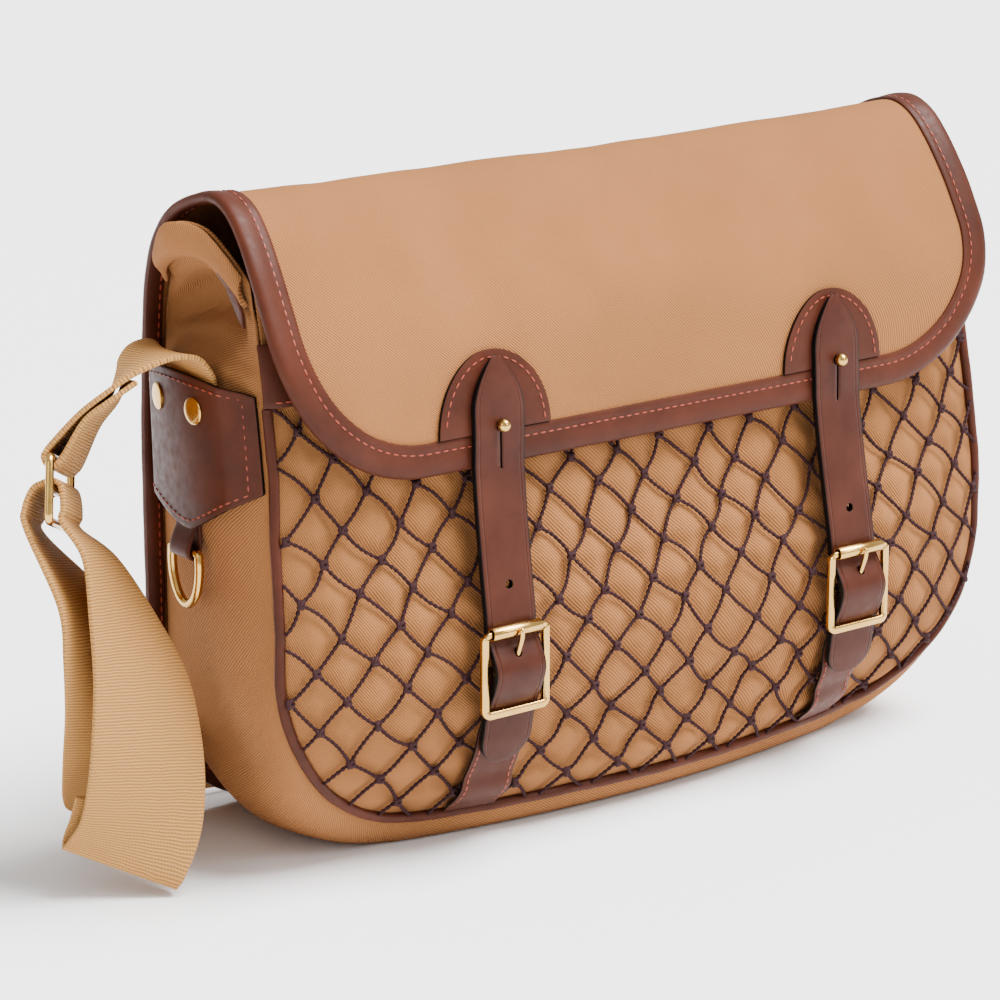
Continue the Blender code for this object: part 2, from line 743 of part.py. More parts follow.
def side_patches():
    for label, side in SIDES:
        def place(u, v, side=side):
            start = seam_y(PATCH_FRONT_LOW + (PATCH_TOP - PATCH_FRONT_LOW) * v) + 4 * MM
            end = back_seam_y(PATCH_FRONT_LOW + (PATCH_TOP - PATCH_FRONT_LOW) * v) - 4 * MM
            depth = start + (end - start) * (u if side == RIGHT else 1 - u)
            low = patch_low(depth)
            top = PATCH_TOP - PATCH_TOP_DROP * (2 * u - 1) ** 2
            height = low + (top - low) * v
            return Vector((side * patch_x(depth, height), depth, height))
        sheet(f"side_patch_{label}", place, 10, 3, PATCH_LEATHER, LEATHER_BROWN, 1.0)


def rivets():
    radius = RIVET_RADIUS
    cap = ((0.0, 1.3 * MM), (radius * 0.8, 1.0 * MM), (radius, 0.0), (0.0, 0.0))
    for label, side in SIDES:
        for where, depth in RIVET_DEPTHS:
            reach = 2 * MM
            slope = (patch_x(depth + reach, RIVET_Z) - patch_x(depth - reach, RIVET_Z)) / (2 * reach)
            out = Vector((side, -slope, 0)).normalized()
            seat = Vector((side * patch_x(depth, RIVET_Z), depth, RIVET_Z))
            sag = radius ** 2 / (2 * 60 * MM)
            place = facing(out, seat + out * (PATCH_LEATHER + GAP + sag * 0.2))
            turned(f"patch_rivet_{where}_{label}", cap, place, BRASS, steps=12)


def ring_loops():
    """A leather tab folded over the straight bar of each ring, tucked under the patch."""
    inner = RING_WIRE + GAP
    for label, side in SIDES:
        route = Route([Vector(p) for p in (
            (-2.9 * MM, 0, 18 * MM), (-3.0 * MM, 0, 10 * MM), (-3.1 * MM, 0, 3.2 * MM),
            (-inner - 0.6 * MM, 0, 0), (-2.0 * MM, 0, -2.0 * MM), (0, 0, -inner - 0.6 * MM),
            (2.0 * MM, 0, -2.0 * MM), (inner + 0.6 * MM, 0, 0), (2.0 * MM, 0, 3.4 * MM),
            (-0.4 * MM, 0, 9 * MM), (-1.3 * MM, 0, 13 * MM),
        )], 3)

        def place(u, v, side=side, route=route):
            point = route.at(v * route.length)
            sweep = (u - 0.5) * TAB_WIDTH
            return Vector((side * (RING_X + point.x), RING_Y + sweep * side, RING_Z + point.z))
        sheet(f"ring_tab_{label}", place, 1, 18, 1.2 * MM, LEATHER_BROWN, 0.0)


def rings():
    """Brass D-rings: origin on the straight bar, about which each swings."""
    for label, side in SIDES:
        points = []
        half, drop = RING_HALF_WIDTH, RING_DROP
        for i in range(13):
            angle = math.pi * i / 12
            bend = 0.75
            points.append(Vector((0, half * math.cos(angle),
                                  -drop * (1 - bend) - drop * bend * math.sin(angle))))
        points = [Vector((0, half, -1.2 * MM)), *points, Vector((0, -half, -1.2 * MM)),
                  Vector((0, -half + 1.4 * MM, 0)), Vector((0, half - 1.4 * MM, 0))]
        made = wire(f"side_ring_{label}", points, RING_WIRE, BRASS, cyclic=True, sides=1)
        made.location = (side * RING_X, RING_Y, RING_Z)


def stud_patches():
    """Half-round leather patches on the flap, under the straps' studs."""
    half, rise = 28 * MM, 33 * MM
    low = PANEL.length - BINDING_WIDTH - 0.4 * MM
    for label, side in SIDES:
        def place(u, v, side=side):
            angle = math.radians(84) * v
            across = side * STRAP_X + half * (1 - 2 * u) * math.cos(angle)
            return panel_point(across, low - rise * math.sin(angle), 1.3 * GAP)
        sheet(f"stud_patch_{label}", place, 4, 5, STUD_PATCH_LEATHER, LEATHER_BROWN, -1.0)


def flap_face(x, height, lift):
    """A point above the flap's front face, at a height."""
    along = next(PANEL.lengths[i] for i in range(len(PANEL.points) - 1, 0, -1)
                 if PANEL.points[i].z >= height)
    along += (PANEL.at(along).z - height)
    return panel_point(x, along, lift)


def strap_shift(height, side):
    """How far out a strap's centre is at a height: the straps splay a little."""
    return side * (STRAP_X + STRAP_SPLAY * max(0.0, STUD_Z - height) / STUD_Z)


def strap_rows(side):
    """A strap's centre line: flat on the flap, then hanging to its buckle and through it."""
    lift = GAP + STUD_PATCH_LEATHER + GAP + STRAP_THICKNESS / 2
    rows = [flap_face(strap_shift(z * MM, side), z * MM, lift) for z in STRAP_ON_FLAP]
    rows += [Vector((strap_shift(z * MM, side), y * MM, z * MM)) for y, z in STRAP_BELOW_FLAP]
    return Route(rows, 1)


def straps():
    """Bridle-leather straps, pointed above and rounded below, with their holes."""
    half = STRAP_WIDTH / 2
    for label, side in SIDES:
        route = strap_rows(side)
        last = len(route.points) - 1

        def place(u, v, route=route, last=last):
            row = round(v * last)
            from_top, from_end = route.lengths[row], route.length - route.lengths[row]
            point_width = min(1.0, 0.1 + (from_top / (16 * MM)) ** 0.8)
            round_width = math.sqrt(1 - (1 - min((from_end + 1.5 * MM) / half, 1.0)) ** 2)
            point = route.points[row].copy()
            point.x += (u * 2 - 1) * half * min(point_width, round_width)
            return point
        strap = sheet(f"front_strap_{label}", place, 2, last, STRAP_THICKNESS, LEATHER_BROWN, 0.0)
        seat = flap_face(side * STRAP_X, STUD_Z, 0.0)
        reach = Vector((0, 8 * MM, 0))
        spare = Vector((strap_shift(SPARE_HOLE_Z, side), strap_depth(SPARE_HOLE_Z), SPARE_HOLE_Z))
        holes = (("stud", [seat - reach, seat + reach], STUD_NECK + 0.5 * MM),
                 ("spare", [spare - reach, spare + reach], 1.9 * MM),
                 ("prong", prong_points(side)[5:9], PRONG_WIRE + 0.5 * MM))
        for where, line, radius in holes:
            tool = wire(f"{where}_hole_{label}", line, radius, LEATHER_BROWN, group=CUTTERS)
            cut(strap, as_mesh(tool, LEATHER_BROWN, CUTTERS))
        slit = bmesh.new()
        bmesh.ops.create_cube(slit, size=1.0)
        bmesh.ops.scale(slit, vec=(0.9 * MM, 16 * MM, SLIT_LENGTH), verts=slit.verts)
        middle = seat - Vector((0, 0, SLIT_LENGTH / 2 + 1 * MM))
        bmesh.ops.translate(slit, vec=middle, verts=slit.verts)
        cut(strap, add_mesh(f"slit_{label}", slit, LEATHER_BROWN, CUTTERS))


def strap_depth(height):
    """Depth of the hanging strap's centre line at a height."""
    rows = sorted((z, y) for y, z in STRAP_BELOW_FLAP)
    for (low, first), (high, second) in zip(rows, rows[1:]):
        if height / MM <= high:
            share = (height / MM - low) / (high - low)
            return (first + (second - first) * share) * MM
    return rows[-1][1] * MM


def studs():
    """Brass ball studs that hold the straps' slits."""
    ball, centre = STUD_BALL, STUD_NECK_LENGTH + STUD_BALL * 0.85
    profile = [(0.0, centre + ball)]
    for degrees in (65, 40, 15, -10, -35):
        angle = math.radians(degrees)
        profile.append((ball * math.cos(angle), centre + ball * math.sin(angle)))
    profile += [(STUD_NECK, STUD_NECK_LENGTH), (STUD_NECK, 0.0), (0.0, 0.0)]
    for label, side in SIDES:
        x = side * STRAP_X
        seat = flap_face(x, STUD_Z, GAP + STUD_PATCH_LEATHER + GAP)
        step = 2 * MM
        up = flap_face(x, STUD_Z + step, 0.0) - flap_face(x, STUD_Z - step, 0.0)
        across = flap_face(x + step, STUD_Z, 0.0) - flap_face(x - step, STUD_Z, 0.0)
        out = up.cross(across).normalized()
        out = out if out.y < 0 else -out
        turned(f"stud_{label}", profile, facing(out, seat), BRASS, steps=12)


def buckle_corner(side):
    return Vector((strap_shift(BUCKLE_Z, side), BUCKLE_Y, BUCKLE_Z))


def buckles():
    """Cast brass whole buckles: frame with its centre bar, a roller, and a prong."""
    half, tall, turn = BUCKLE_HALF_WIDTH, BUCKLE_HALF_HEIGHT, 1.6 * MM
    quarter = [Vector((half - turn, 0, tall)), Vector((half - 0.45 * turn, 0, tall - 0.45 * turn)),
               Vector((half, 0, tall - turn))]
    for height in (0.75, 0.5, 0.25, 0.0):
        quarter.append(Vector((half, BAR_SET_BACK * (1 - height ** 2), tall * height)))
    lower = [Vector((p.x, p.y, -p.z)) for p in reversed(quarter[:-1])]
    right_side = quarter + lower
    left_side = [Vector((-p.x, p.y, p.z)) for p in reversed(right_side)]
    for label, side in SIDES:
        centre = buckle_corner(side)
        loop = [centre + p for p in right_side + left_side]
        frame = as_mesh(wire(f"buckle_{label}", loop, BUCKLE_WIRE, BRASS, cyclic=True, sides=2),
                        BRASS, PARTS)
        middle = centre + Vector((0, BAR_SET_BACK, 0))
        ends = [middle + Vector((way * half, 0, 0)) for way in (-1, 1)]
        bar = as_mesh(wire(f"centre_bar_{label}", ends, CENTRE_BAR, BRASS, sides=2, group=CUTTERS),
                      BRASS, CUTTERS)
        cut(frame, bar, "UNION")
        roller(label, centre + Vector((0, 0, tall)))
        wire(f"buckle_prong_{label}", prong_points(side), PRONG_WIRE, BRASS, sides=1)


def roller(label, centre):
    """A tube that turns on the buckle's top bar."""
    half = ROLLER_LENGTH / 2
    corners = ((ROLLER_OUTER, half), (ROLLER_OUTER, -half), (ROLLER_INNER, -half),
               (ROLLER_INNER, half))
    turned(f"buckle_roller_{label}", corners, facing(Vector((1, 0, 0)), centre), BRASS, steps=12,
           closed=True)


def prong_points(side):
    """From round the centre bar, out through the strap's hole, to rest on the roller."""
    bar = buckle_corner(side) + Vector((0, BAR_SET_BACK, 0))
    reach = CENTRE_BAR + GAP + PRONG_WIRE
    points = []
    for degrees in (-50, -95, -140, -185, -230, -265):
        angle = math.radians(degrees)
        points.append(bar + Vector((0, -math.cos(angle), math.sin(angle))) * reach)
    rest = BUCKLE_Y - ROLLER_OUTER - GAP - PRONG_WIRE
    for depth, height in ((-66.6, 89.0), (-68.4, 93.0)):
        points.append(Vector((bar.x, depth * MM, height * MM)))
    points.append(Vector((bar.x, rest - 0.1 * MM, BUCKLE_Z + BUCKLE_HALF_HEIGHT - 2.0 * MM)))
    points.append(Vector((bar.x, rest, BUCKLE_Z + BUCKLE_HALF_HEIGHT + 1.6 * MM)))
    return points


def chapes():
    """Leather that holds each buckle: from the piping up, over the centre bar, and down behind."""
    loop = CENTRE_BAR + 1.2 * GAP + CHAPE_THICKNESS / 2
    off_net = NET_LIFT + NET_THICKNESS + 1.7 * MM + CHAPE_THICKNESS / 2
    foot = SEAM_BOTTOM + PIPING_RADIUS + 1.5 * MM
    bar_y = BUCKLE_Y + BAR_SET_BACK
    for label, side in SIDES:
        on_net = [Vector((0, 0, z)) for z in (foot, 28 * MM, 37 * MM, 46 * MM, 55 * MM)]
        rows = on_net + [Vector((0, y * MM, z * MM)) for y, z in CHAPE_FRONT]
        for degrees in range(0, 181, 30):
            angle = math.radians(degrees)
            rows.append(Vector((0, bar_y - loop * math.cos(angle),
                                BUCKLE_Z + loop * math.sin(angle))))
        rows += [Vector((0, y * MM, z * MM)) for y, z in CHAPE_BEHIND]
        last = len(rows) - 1

        def place(u, v, rows=rows, side=side, last=last, lowest=len(on_net)):
            row = rows[round(v * last)]
            x = strap_shift(row.z, side) + (u - 0.5) * CHAPE_WIDTH
            depth = front_y(x, row.z) - off_net if round(v * last) < lowest else row.y
            return Vector((x, depth, row.z))
        chape = sheet(f"chape_{label}", place, 1, last, CHAPE_THICKNESS, LEATHER_BROWN, 0.0)
        slot = bmesh.new()
        bmesh.ops.create_cube(slot, size=1.0)
        bmesh.ops.scale(slot, vec=(3.4 * MM, 14 * MM, 14 * MM), verts=slot.verts)
        centre = Vector((strap_shift(BUCKLE_Z, side), bar_y, BUCKLE_Z))
        bmesh.ops.translate(slot, vec=centre, verts=slot.verts)
        cut(chape, add_mesh(f"prong_slot_{label}", slot, LEATHER_BROWN, CUTTERS))


SLIDER_OUT = SLIDER_ALONG.cross(SLIDER_DOWN).normalized()


def by_slider(out, down):
    """A centre-line row by the slider: how far out from its plane, and down it."""
    place = SLIDER_CENTRE / MM + SLIDER_OUT * out + SLIDER_DOWN * down
    return (*place, *SLIDER_ALONG, 0.0)


def webbing(name, rows, steps):
    """Webbing laid along rows of centre, width direction and how far its middle bows out."""
    centres = spline([Vector(row[:3]) * MM for row in rows], steps)
    widths = spline([Vector(row[3:6]).normalized() for row in rows], steps)
    bows = spline([Vector((row[6] * MM, 0, 0)) for row in rows], steps)
    last = len(centres) - 1

    def place(u, v):
        k = round(v * last)
        across = u - 0.5
        width = widths[k].normalized()
        heading = centres[min(k + 1, last)] - centres[max(k - 1, 0)]
        normal = width.cross(heading).normalized()
        bow = bows[k].x * (1 - (2 * across) ** 2)
        return centres[k] + width * across * WEB_WIDTH + normal * bow
    sheet(name, place, 2, last, WEB_THICKNESS, WEBBING, 0.0)


def slider():
    """Brass slide: a wire rectangle with a middle bar, which joins the two lengths of webbing."""
    long, tall, turn = SLIDER_HALF_LENGTH, SLIDER_HALF_HEIGHT, 2.5 * MM
    flat = []
    for sign_x, sign_y in ((1, 1), (-1, 1), (-1, -1), (1, -1)):
        corner = [(sign_x * long, sign_y * (tall - turn)),
                  (sign_x * (long - 0.3 * turn), sign_y * (tall - 0.3 * turn)),
                  (sign_x * (long - turn), sign_y * tall)]
        flat += corner if sign_x * sign_y > 0 else corner[::-1]
    loop = [SLIDER_CENTRE + SLIDER_ALONG * x + SLIDER_DOWN * y for x, y in flat]
    frame = as_mesh(wire("slider", loop, SLIDER_WIRE, BRASS, cyclic=True, sides=2), BRASS, PARTS)
    ends = [SLIDER_CENTRE + SLIDER_ALONG * (way * long) for way in (-1, 1)]
    bar = as_mesh(wire("slider_bar", ends, SLIDER_WIRE * 0.94, BRASS, sides=2, group=CUTTERS),
                  BRASS, CUTTERS)
    cut(frame, bar, "UNION")


def sling():
    """The short anchored webbing with its slider, and the long adjustable webbing."""
    top = -SLIDER_HALF_HEIGHT / MM
    reach = (SLIDER_WIRE + WEB_THICKNESS / 2) / MM + 0.4
    round_top = [by_slider(reach * math.cos(angle) + out, top + reach * math.sin(angle) + down)
                 for angle, out, down in (
                     (math.radians(-36), -2.9, -4.0), (math.radians(-36), 0, 0),
                     (math.radians(0), 0, 0), (math.radians(54), 0, 0),
                     (math.radians(108), 0, 0), (math.radians(144), 0, 0),
                     (math.radians(144), -2.5, -3.5))]
    webbing("strap_anchor", ANCHOR_ROUTE + round_top + ANCHOR_RETURN, 2)
    over_bar = [by_slider(9.5, 16), by_slider(10.5, 8), by_slider(7.5, 0), by_slider(3.4, -2.6),
                by_slider(0, -3.6), by_slider(-3.0, -2.4), by_slider(-4.4, 2), by_slider(-4.8, 8),
                by_slider(-4.6, 13)]
    webbing("shoulder_strap", SLING_ROUTE + over_bar + SLING_FRONT, 2)
    slider()


for existing in list(bpy.data.objects):
    bpy.data.objects.remove(existing)
PARTS = collection("game_bag")
CUTTERS = collection("cutters")
CANVAS_CLOTH = material("tan canvas", (0.47, 0.31, 0.17), 0.9)
LEATHER_BROWN = material("brown bridle leather", (0.16, 0.055, 0.035), 0.45)
NET_TWINE = material("maroon twine", (0.06, 0.02, 0.02), 0.85)
WEBBING = material("tan cotton webbing", (0.62, 0.43, 0.26), 0.85)
BRASS = material("polished brass", (0.78, 0.56, 0.25), 0.25, 1.0)

front_panel()
gusset()
back_and_flap()
binding()
piping()
net()
net_band()
mouth_tabs()
side_patches()
rivets()
ring_loops()
rings()
stud_patches()
straps()
studs()
buckles()
chapes()
sling()
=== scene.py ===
"""Looks of the canvas game bag: twill body, bridle leather, knotted net, brass and webbing."""

import math
import random

import bmesh
import bpy
from mathutils import Matrix, Vector, kdtree, noise


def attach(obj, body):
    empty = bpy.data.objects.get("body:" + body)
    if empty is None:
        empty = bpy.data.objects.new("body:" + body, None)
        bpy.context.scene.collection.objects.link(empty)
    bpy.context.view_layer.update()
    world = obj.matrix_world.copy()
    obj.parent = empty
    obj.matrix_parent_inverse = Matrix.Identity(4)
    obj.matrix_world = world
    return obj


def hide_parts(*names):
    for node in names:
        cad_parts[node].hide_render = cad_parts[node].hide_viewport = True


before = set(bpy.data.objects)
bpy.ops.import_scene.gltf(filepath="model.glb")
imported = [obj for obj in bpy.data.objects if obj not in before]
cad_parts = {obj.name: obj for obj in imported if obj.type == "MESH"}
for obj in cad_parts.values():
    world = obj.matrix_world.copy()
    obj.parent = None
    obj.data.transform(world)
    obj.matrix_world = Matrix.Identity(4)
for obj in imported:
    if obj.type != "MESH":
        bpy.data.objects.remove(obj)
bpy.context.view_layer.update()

MM = 0.001

# Camera at the photograph's angle: a long lens, a little above the bag and off its left front
LENS_PIXELS, FRAME_PIXELS, SENSOR = 3800, 1000, 36
EYE = Vector((-990.7, -1238.5, 579.3)) * MM
LOOK = Vector((0.604, 0.797, -math.tan(math.radians(16.0))))
camera_data = bpy.data.cameras.new("camera")
camera_data.sensor_width = SENSOR
camera_data.lens = SENSOR * LENS_PIXELS / FRAME_PIXELS
camera = bpy.data.objects.new("camera", camera_data)
camera.location = EYE
camera.rotation_euler = LOOK.to_track_quat("-Z", "Y").to_euler()
bpy.context.scene.collection.objects.link(camera)
bpy.context.scene.camera = camera


def srgb(code):
    """A linear colour from an sRGB hex code."""
    channels = [int(code[k:k + 2], 16) / 255 for k in (0, 2, 4)]
    return [c / 12.92 if c <= 0.04045 else ((c + 0.055) / 1.055) ** 2.4 for c in channels]


def add_node(tree, kind, inputs=(), **settings):
    """One shader node, with its settings, and its inputs given as values or other outputs."""
    made = tree.nodes.new("ShaderNode" + kind)
    for name, value in settings.items():
        setattr(made, name, value)
    for place, value in dict(inputs).items():
        if isinstance(value, bpy.types.NodeSocket):
            tree.links.new(value, made.inputs[place])
        else:
            made.inputs[place].default_value = value
    return made


def new_material(name, colour, roughness, metallic=0.0):
    """A material with its Principled shader, and the node tree to add to."""
    made = bpy.data.materials.new(name)
    made.use_nodes = True
    shader = made.node_tree.nodes["Principled BSDF"]
    shader.inputs["Base Color"].default_value = (*srgb(colour), 1.0)
    shader.inputs["Roughness"].default_value = roughness
    shader.inputs["Metallic"].default_value = metallic
    return made, made.node_tree, shader


# Studio: white paper that runs off in every direction under a broad overhead light from the
# right, with a weak key from the front right, a weaker one from the left, and an even surround
FLOOR_SIZE = 12.0
paper, _, _ = new_material("studio paper", "ffffff", 0.9)
floor_builder = bmesh.new()
bmesh.ops.create_grid(floor_builder, x_segments=1, y_segments=1, size=FLOOR_SIZE)
floor_mesh = bpy.data.meshes.new("studio_floor")
floor_builder.to_mesh(floor_mesh)
floor_mesh.materials.append(paper)
floor = bpy.data.objects.new("studio_floor", floor_mesh)
bpy.context.scene.collection.objects.link(floor)

world = bpy.data.worlds.new("studio")
bpy.context.scene.world = world
world.use_nodes = True
world.node_tree.nodes["Background"].inputs["Color"].default_value = (1, 1, 1, 1)
world.node_tree.nodes["Background"].inputs["Strength"].default_value = 0.8
for label, place, size, power in (
        ("key", (0.7, -1.7, 1.2), 0.7, 12), ("left", (-1.7, -0.4, 0.9), 0.6, 3)):
    light_data = bpy.data.lights.new(label, "AREA")
    light_data.size = size
    light_data.energy = power
    light = bpy.data.objects.new(label, light_data)
    light.location = place
    aim = Vector((0, 0, 0.12)) - light.location
    light.rotation_euler = aim.to_track_quat("-Z", "Y").to_euler()
    bpy.context.scene.collection.objects.link(light)

sun_data = bpy.data.lights.new("overhead", "SUN")
sun_data.energy = 11.0
sun_data.angle = math.radians(38)
sun = bpy.data.objects.new("overhead", sun_data)
sun.rotation_euler = Vector((-0.42, 0.30, -1.0)).to_track_quat("-Z", "Y").to_euler()
bpy.context.scene.collection.objects.link(sun)


# Front panel: one piece of tan cotton twill, swollen low down by what the bag holds, with the
# net laid over it. The cloth is pressed in under each strand and puffs out through the cells.
HALF_WIDTH = 191 * MM
SEAM_Y = -38 * MM
SEAM_BOTTOM = 14 * MM
SEAM_RADIUS = 80 * MM
SEAM_TOP = 252 * MM
LEAN_START, LEAN_DEPTH = 110 * MM, 22 * MM
FOOT_START, FOOT_DEPTH = 60 * MM, 10 * MM
FOOT_BOW, FOOT_BOW_REACH = 15.5 * MM, 125 * MM
MOUTH_NARROWING = 4 * MM
CANVAS = 1.4 * MM
TWILL_PITCH = 1.05
FRONT_SWELL = (
    (14, 0.0), (30, 5.5), (48, 12.3), (67, 17.6), (86, 18.7), (104, 16.5),
    (120, 13.1), (140, 9.7), (165, 8.6), (190, 7.8), (208, 5.5), (230, 2.5), (255, 1.0),
)


def smooth(value):
    value = min(max(value, 0.0), 1.0)
    return value * value * (3 - 2 * value)


def look_up(table, height):
    """Smoothly read a two-column millimetre table, giving metres."""
    height /= MM
    for (low, first), (high, second) in zip(table, table[1:]):
        if height <= high:
            share = smooth((height - low) / (high - low))
            return (first + (second - first) * share) * MM
    return table[-1][1] * MM


def corner_half_width(height, half_width, bottom, radius):
    """Half width of an outline with round lower corners, at a height."""
    rise = height - bottom
    if rise >= radius:
        return half_width
    return half_width - radius + math.sqrt(max(radius ** 2 - (radius - rise) ** 2, 0.0))


def mouth_narrowing(height):
    return MOUTH_NARROWING * smooth((height - LEAN_START) / (90 * MM))


def seam_half_width(height, inset=0.0):
    square = corner_half_width(height, HALF_WIDTH - inset, SEAM_BOTTOM + inset,
                               SEAM_RADIUS - inset)
    return square - mouth_narrowing(height)


def seam_line_y(x, height):
    """Depth of the front seam: it leans back at mouth and foot, and bows out along the foot."""
    lean = max(0.0, (height - LEAN_START) / (SEAM_TOP - LEAN_START))
    foot = max(0.0, (FOOT_START - height) / (FOOT_START - SEAM_BOTTOM))
    bow = max(0.0, 1 - (x / FOOT_BOW_REACH) ** 2)
    low = smooth((56 * MM - height) / (56 * MM - SEAM_BOTTOM))
    return SEAM_Y + LEAN_DEPTH * lean ** 1.3 + FOOT_DEPTH * foot ** 2 - FOOT_BOW * bow * low


def front_y(x, height):
    """Depth of the front panel's outer face, before folds."""
    across = min(abs(x) / max(seam_half_width(height), MM), 1.0)
    swell = look_up(FRONT_SWELL, height) * 1.19 * (1 - across ** 2) ** 0.6
    return seam_line_y(x, height) - swell


def ripple(place, size, depth, seed=0.0):
    """Soft unevenness of cloth or leather: noise of a given size and depth."""
    return noise.fractal(place / size + Vector((seed, seed, seed)), 1.0, 2.0, 2) * depth


def finished(name, builder, finish, body="bag", replaced=(), sharp=40):
    """Put a bmesh into the scene as a smooth-shaded piece of the bag."""
    mesh = bpy.data.meshes.new(name)
    builder.to_mesh(mesh)
    builder.free()
    mesh.polygons.foreach_set("use_smooth", [True] * len(mesh.polygons))
    mesh.set_sharp_from_angle(angle=math.radians(sharp))
    mesh.materials.append(finish)
    piece = bpy.data.objects.new(name, mesh)
    bpy.context.scene.collection.objects.link(piece)
    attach(piece, body)
    if replaced:
        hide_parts(*replaced)
    return piece


def surface(columns, rows, place, size):
    """A grid laid on place(u, v), with UVs in millimetres of its flat size."""
    builder = bmesh.new()
    builder.loops.layers.uv.new("flat_mm")
    bmesh.ops.create_grid(builder, x_segments=columns, y_segments=rows, size=0.5, calc_uvs=True)
    layer = builder.loops.layers.uv.active
    for face in builder.faces:
        for loop in face.loops:
            u, v = loop.vert.co.x + 0.5, loop.vert.co.y + 0.5
            loop[layer].uv = (u * size[0], v * size[1])
    for vertex in builder.verts:
        vertex.co = place(vertex.co.x + 0.5, vertex.co.y + 0.5)
    return builder


def walled(piece, thickness, offset=-1.0, edge=0.0):
    """Give a surface its thickness, and round its edges where edge is given."""
    wall = piece.modifiers.new("Thickness", "SOLIDIFY")
    wall.thickness = thickness
    wall.offset = offset
    wall.use_even_offset = True
    if edge:
        rounding = piece.modifiers.new("Edge", "BEVEL")
        rounding.width = edge
        rounding.segments = 2
        rounding.limit_method = "ANGLE"
        rounding.angle_limit = math.radians(55)
    return piece


def twill_material(name, light, dark, direction):
    """Dyed cotton twill: fine diagonal ribs, uneven yarns, and a soft matt nap."""
    made, tree, shader = new_material(name, light, 0.88)
    flat = add_node(tree, "UVMap", uv_map="flat_mm").outputs["UV"]
    wobble = add_node(tree, "TexNoise", {"Vector": flat, "Scale": 0.08, "Detail": 2.0})
    phase = add_node(tree, "VectorMath", {0: flat, 1: (*direction, 0.0)},
                     operation="DOT_PRODUCT").outputs["Value"]
    drift = add_node(tree, "Math", {0: wobble.outputs[0], 1: 1.2, 2: phase},
                     operation="MULTIPLY_ADD").outputs[0]
    turns = add_node(tree, "Math", {0: drift, 1: 2 * math.pi / TWILL_PITCH},
                     operation="MULTIPLY").outputs[0]
    rib = add_node(tree, "Math", {0: turns}, operation="SINE").outputs[0]
    yarn = add_node(tree, "TexNoise", {"Vector": flat, "Scale": 1.3, "Detail": 4.0,
                                       "Roughness": 0.7}).outputs[0]
    grain = add_node(tree, "Math", {0: yarn, 1: 1.5, 2: rib}, operation="MULTIPLY_ADD").outputs[0]
    blend = add_node(tree, "MapRange", {"Value": grain, "From Min": -0.6, "From Max": 1.7}).outputs[0]
    weave = add_node(tree, "Mix", {0: blend, 6: (*srgb(dark), 1), 7: (*srgb(light), 1)},
                     data_type="RGBA").outputs[2]
    place = add_node(tree, "TexCoord").outputs["Object"]
    cloud = add_node(tree, "TexNoise", {"Vector": place, "Scale": 14.0, "Detail": 3.0}).outputs[0]
    fade = add_node(tree, "MapRange", {"Value": cloud, "From Min": 0.3, "From Max": 0.7,
                                       "To Min": 0.90, "To Max": 1.06}).outputs[0]
    toned = add_node(tree, "VectorMath", {0: weave, 3: fade}, operation="SCALE").outputs[0]
    tree.links.new(toned, shader.inputs["Base Color"])
    bump = add_node(tree, "Bump", {"Strength": 0.5, "Distance": 0.25 * MM, "Height": grain})
    tree.links.new(bump.outputs[0], shader.inputs["Normal"])
    shader.inputs["Specular IOR Level"].default_value = 0.15
    return made


TWILL = twill_material("tan cotton twill", "a06a3d", "6c4325", (0.74, 0.67))

# The net's strands as flat paths on the front: a diamond lattice, pulled a little uneven
NET_HALF_COLUMNS, NET_HALF_ROWS = 31, 14
NET_LOW, NET_HIGH = 12 * MM, 204 * MM
NET_STEP_X = 2 * HALF_WIDTH / NET_HALF_COLUMNS
NET_STEP_Z = (NET_HIGH - NET_LOW) / NET_HALF_ROWS
NET_EDGE = 0.6 * MM
NET_LEAN = 1.5 * MM
STRAND_STEPS = 32
pull = random.Random(11)
knots = {}
for i in range(-7, NET_HALF_COLUMNS + 3):
    for j in range(-1, NET_HALF_ROWS + 2):
        if (i + j) % 2 == 0:
            slack = Vector((pull.uniform(-1, 1) * 1.9, pull.uniform(-1, 1) * 1.9)) * MM
            lean = (NET_HALF_ROWS - j) * NET_LEAN * (1 + i / NET_HALF_COLUMNS)
            knots[i, j] = Vector((-HALF_WIDTH + i * NET_STEP_X + lean,
                                  NET_LOW + j * NET_STEP_Z)) + slack


def inside_net(point):
    return (SEAM_BOTTOM + NET_EDGE < point.y < NET_HIGH
            and abs(point.x) < seam_half_width(point.y, NET_EDGE))


STRAND_BOW = (-0.07, 0.09)
strand_paths = []
for (i, j), start in knots.items():
    for way in (-1, 1):
        end = knots.get((i + way, j + 1))
        if end is None:
            continue
        along = end - start
        bow = Vector((along.y, -along.x)) * pull.uniform(*STRAND_BOW)
        path = [start.lerp(end, k / STRAND_STEPS) + bow * math.sin(math.pi * k / STRAND_STEPS)
                for k in range(STRAND_STEPS + 1)]
        kept = [point for point in path if inside_net(point)]
        if len(kept) > 5:
            strand_paths.append(kept)
strand_tree = kdtree.KDTree(sum(len(path) // 2 + 1 for path in strand_paths))
for path in strand_paths:
    for point in path[::2]:
        strand_tree.insert((point.x, point.y, 0), 0)
strand_tree.balance()
PUFF, PUFF_REACH = 2.2 * MM, 8 * MM
UNDER_STRAND = 1.6 * MM


def front_face(x, height):
    """The canvas with its folds: low under each strand, full in the middle of each cell."""
    base = Vector((x, 0, height))
    fold = ripple(base, 0.055, 1.5 * MM, 3.0)
    near_edge = smooth((seam_half_width(height) - abs(x)) / (16 * MM))
    near_edge *= smooth((height - SEAM_BOTTOM) / (14 * MM))
    away = strand_tree.find((x, height, 0))[2]
    puff = PUFF * smooth(away / PUFF_REACH) * (height < NET_HIGH)
    return front_y(x, height) + UNDER_STRAND - (puff + fold) * near_edge


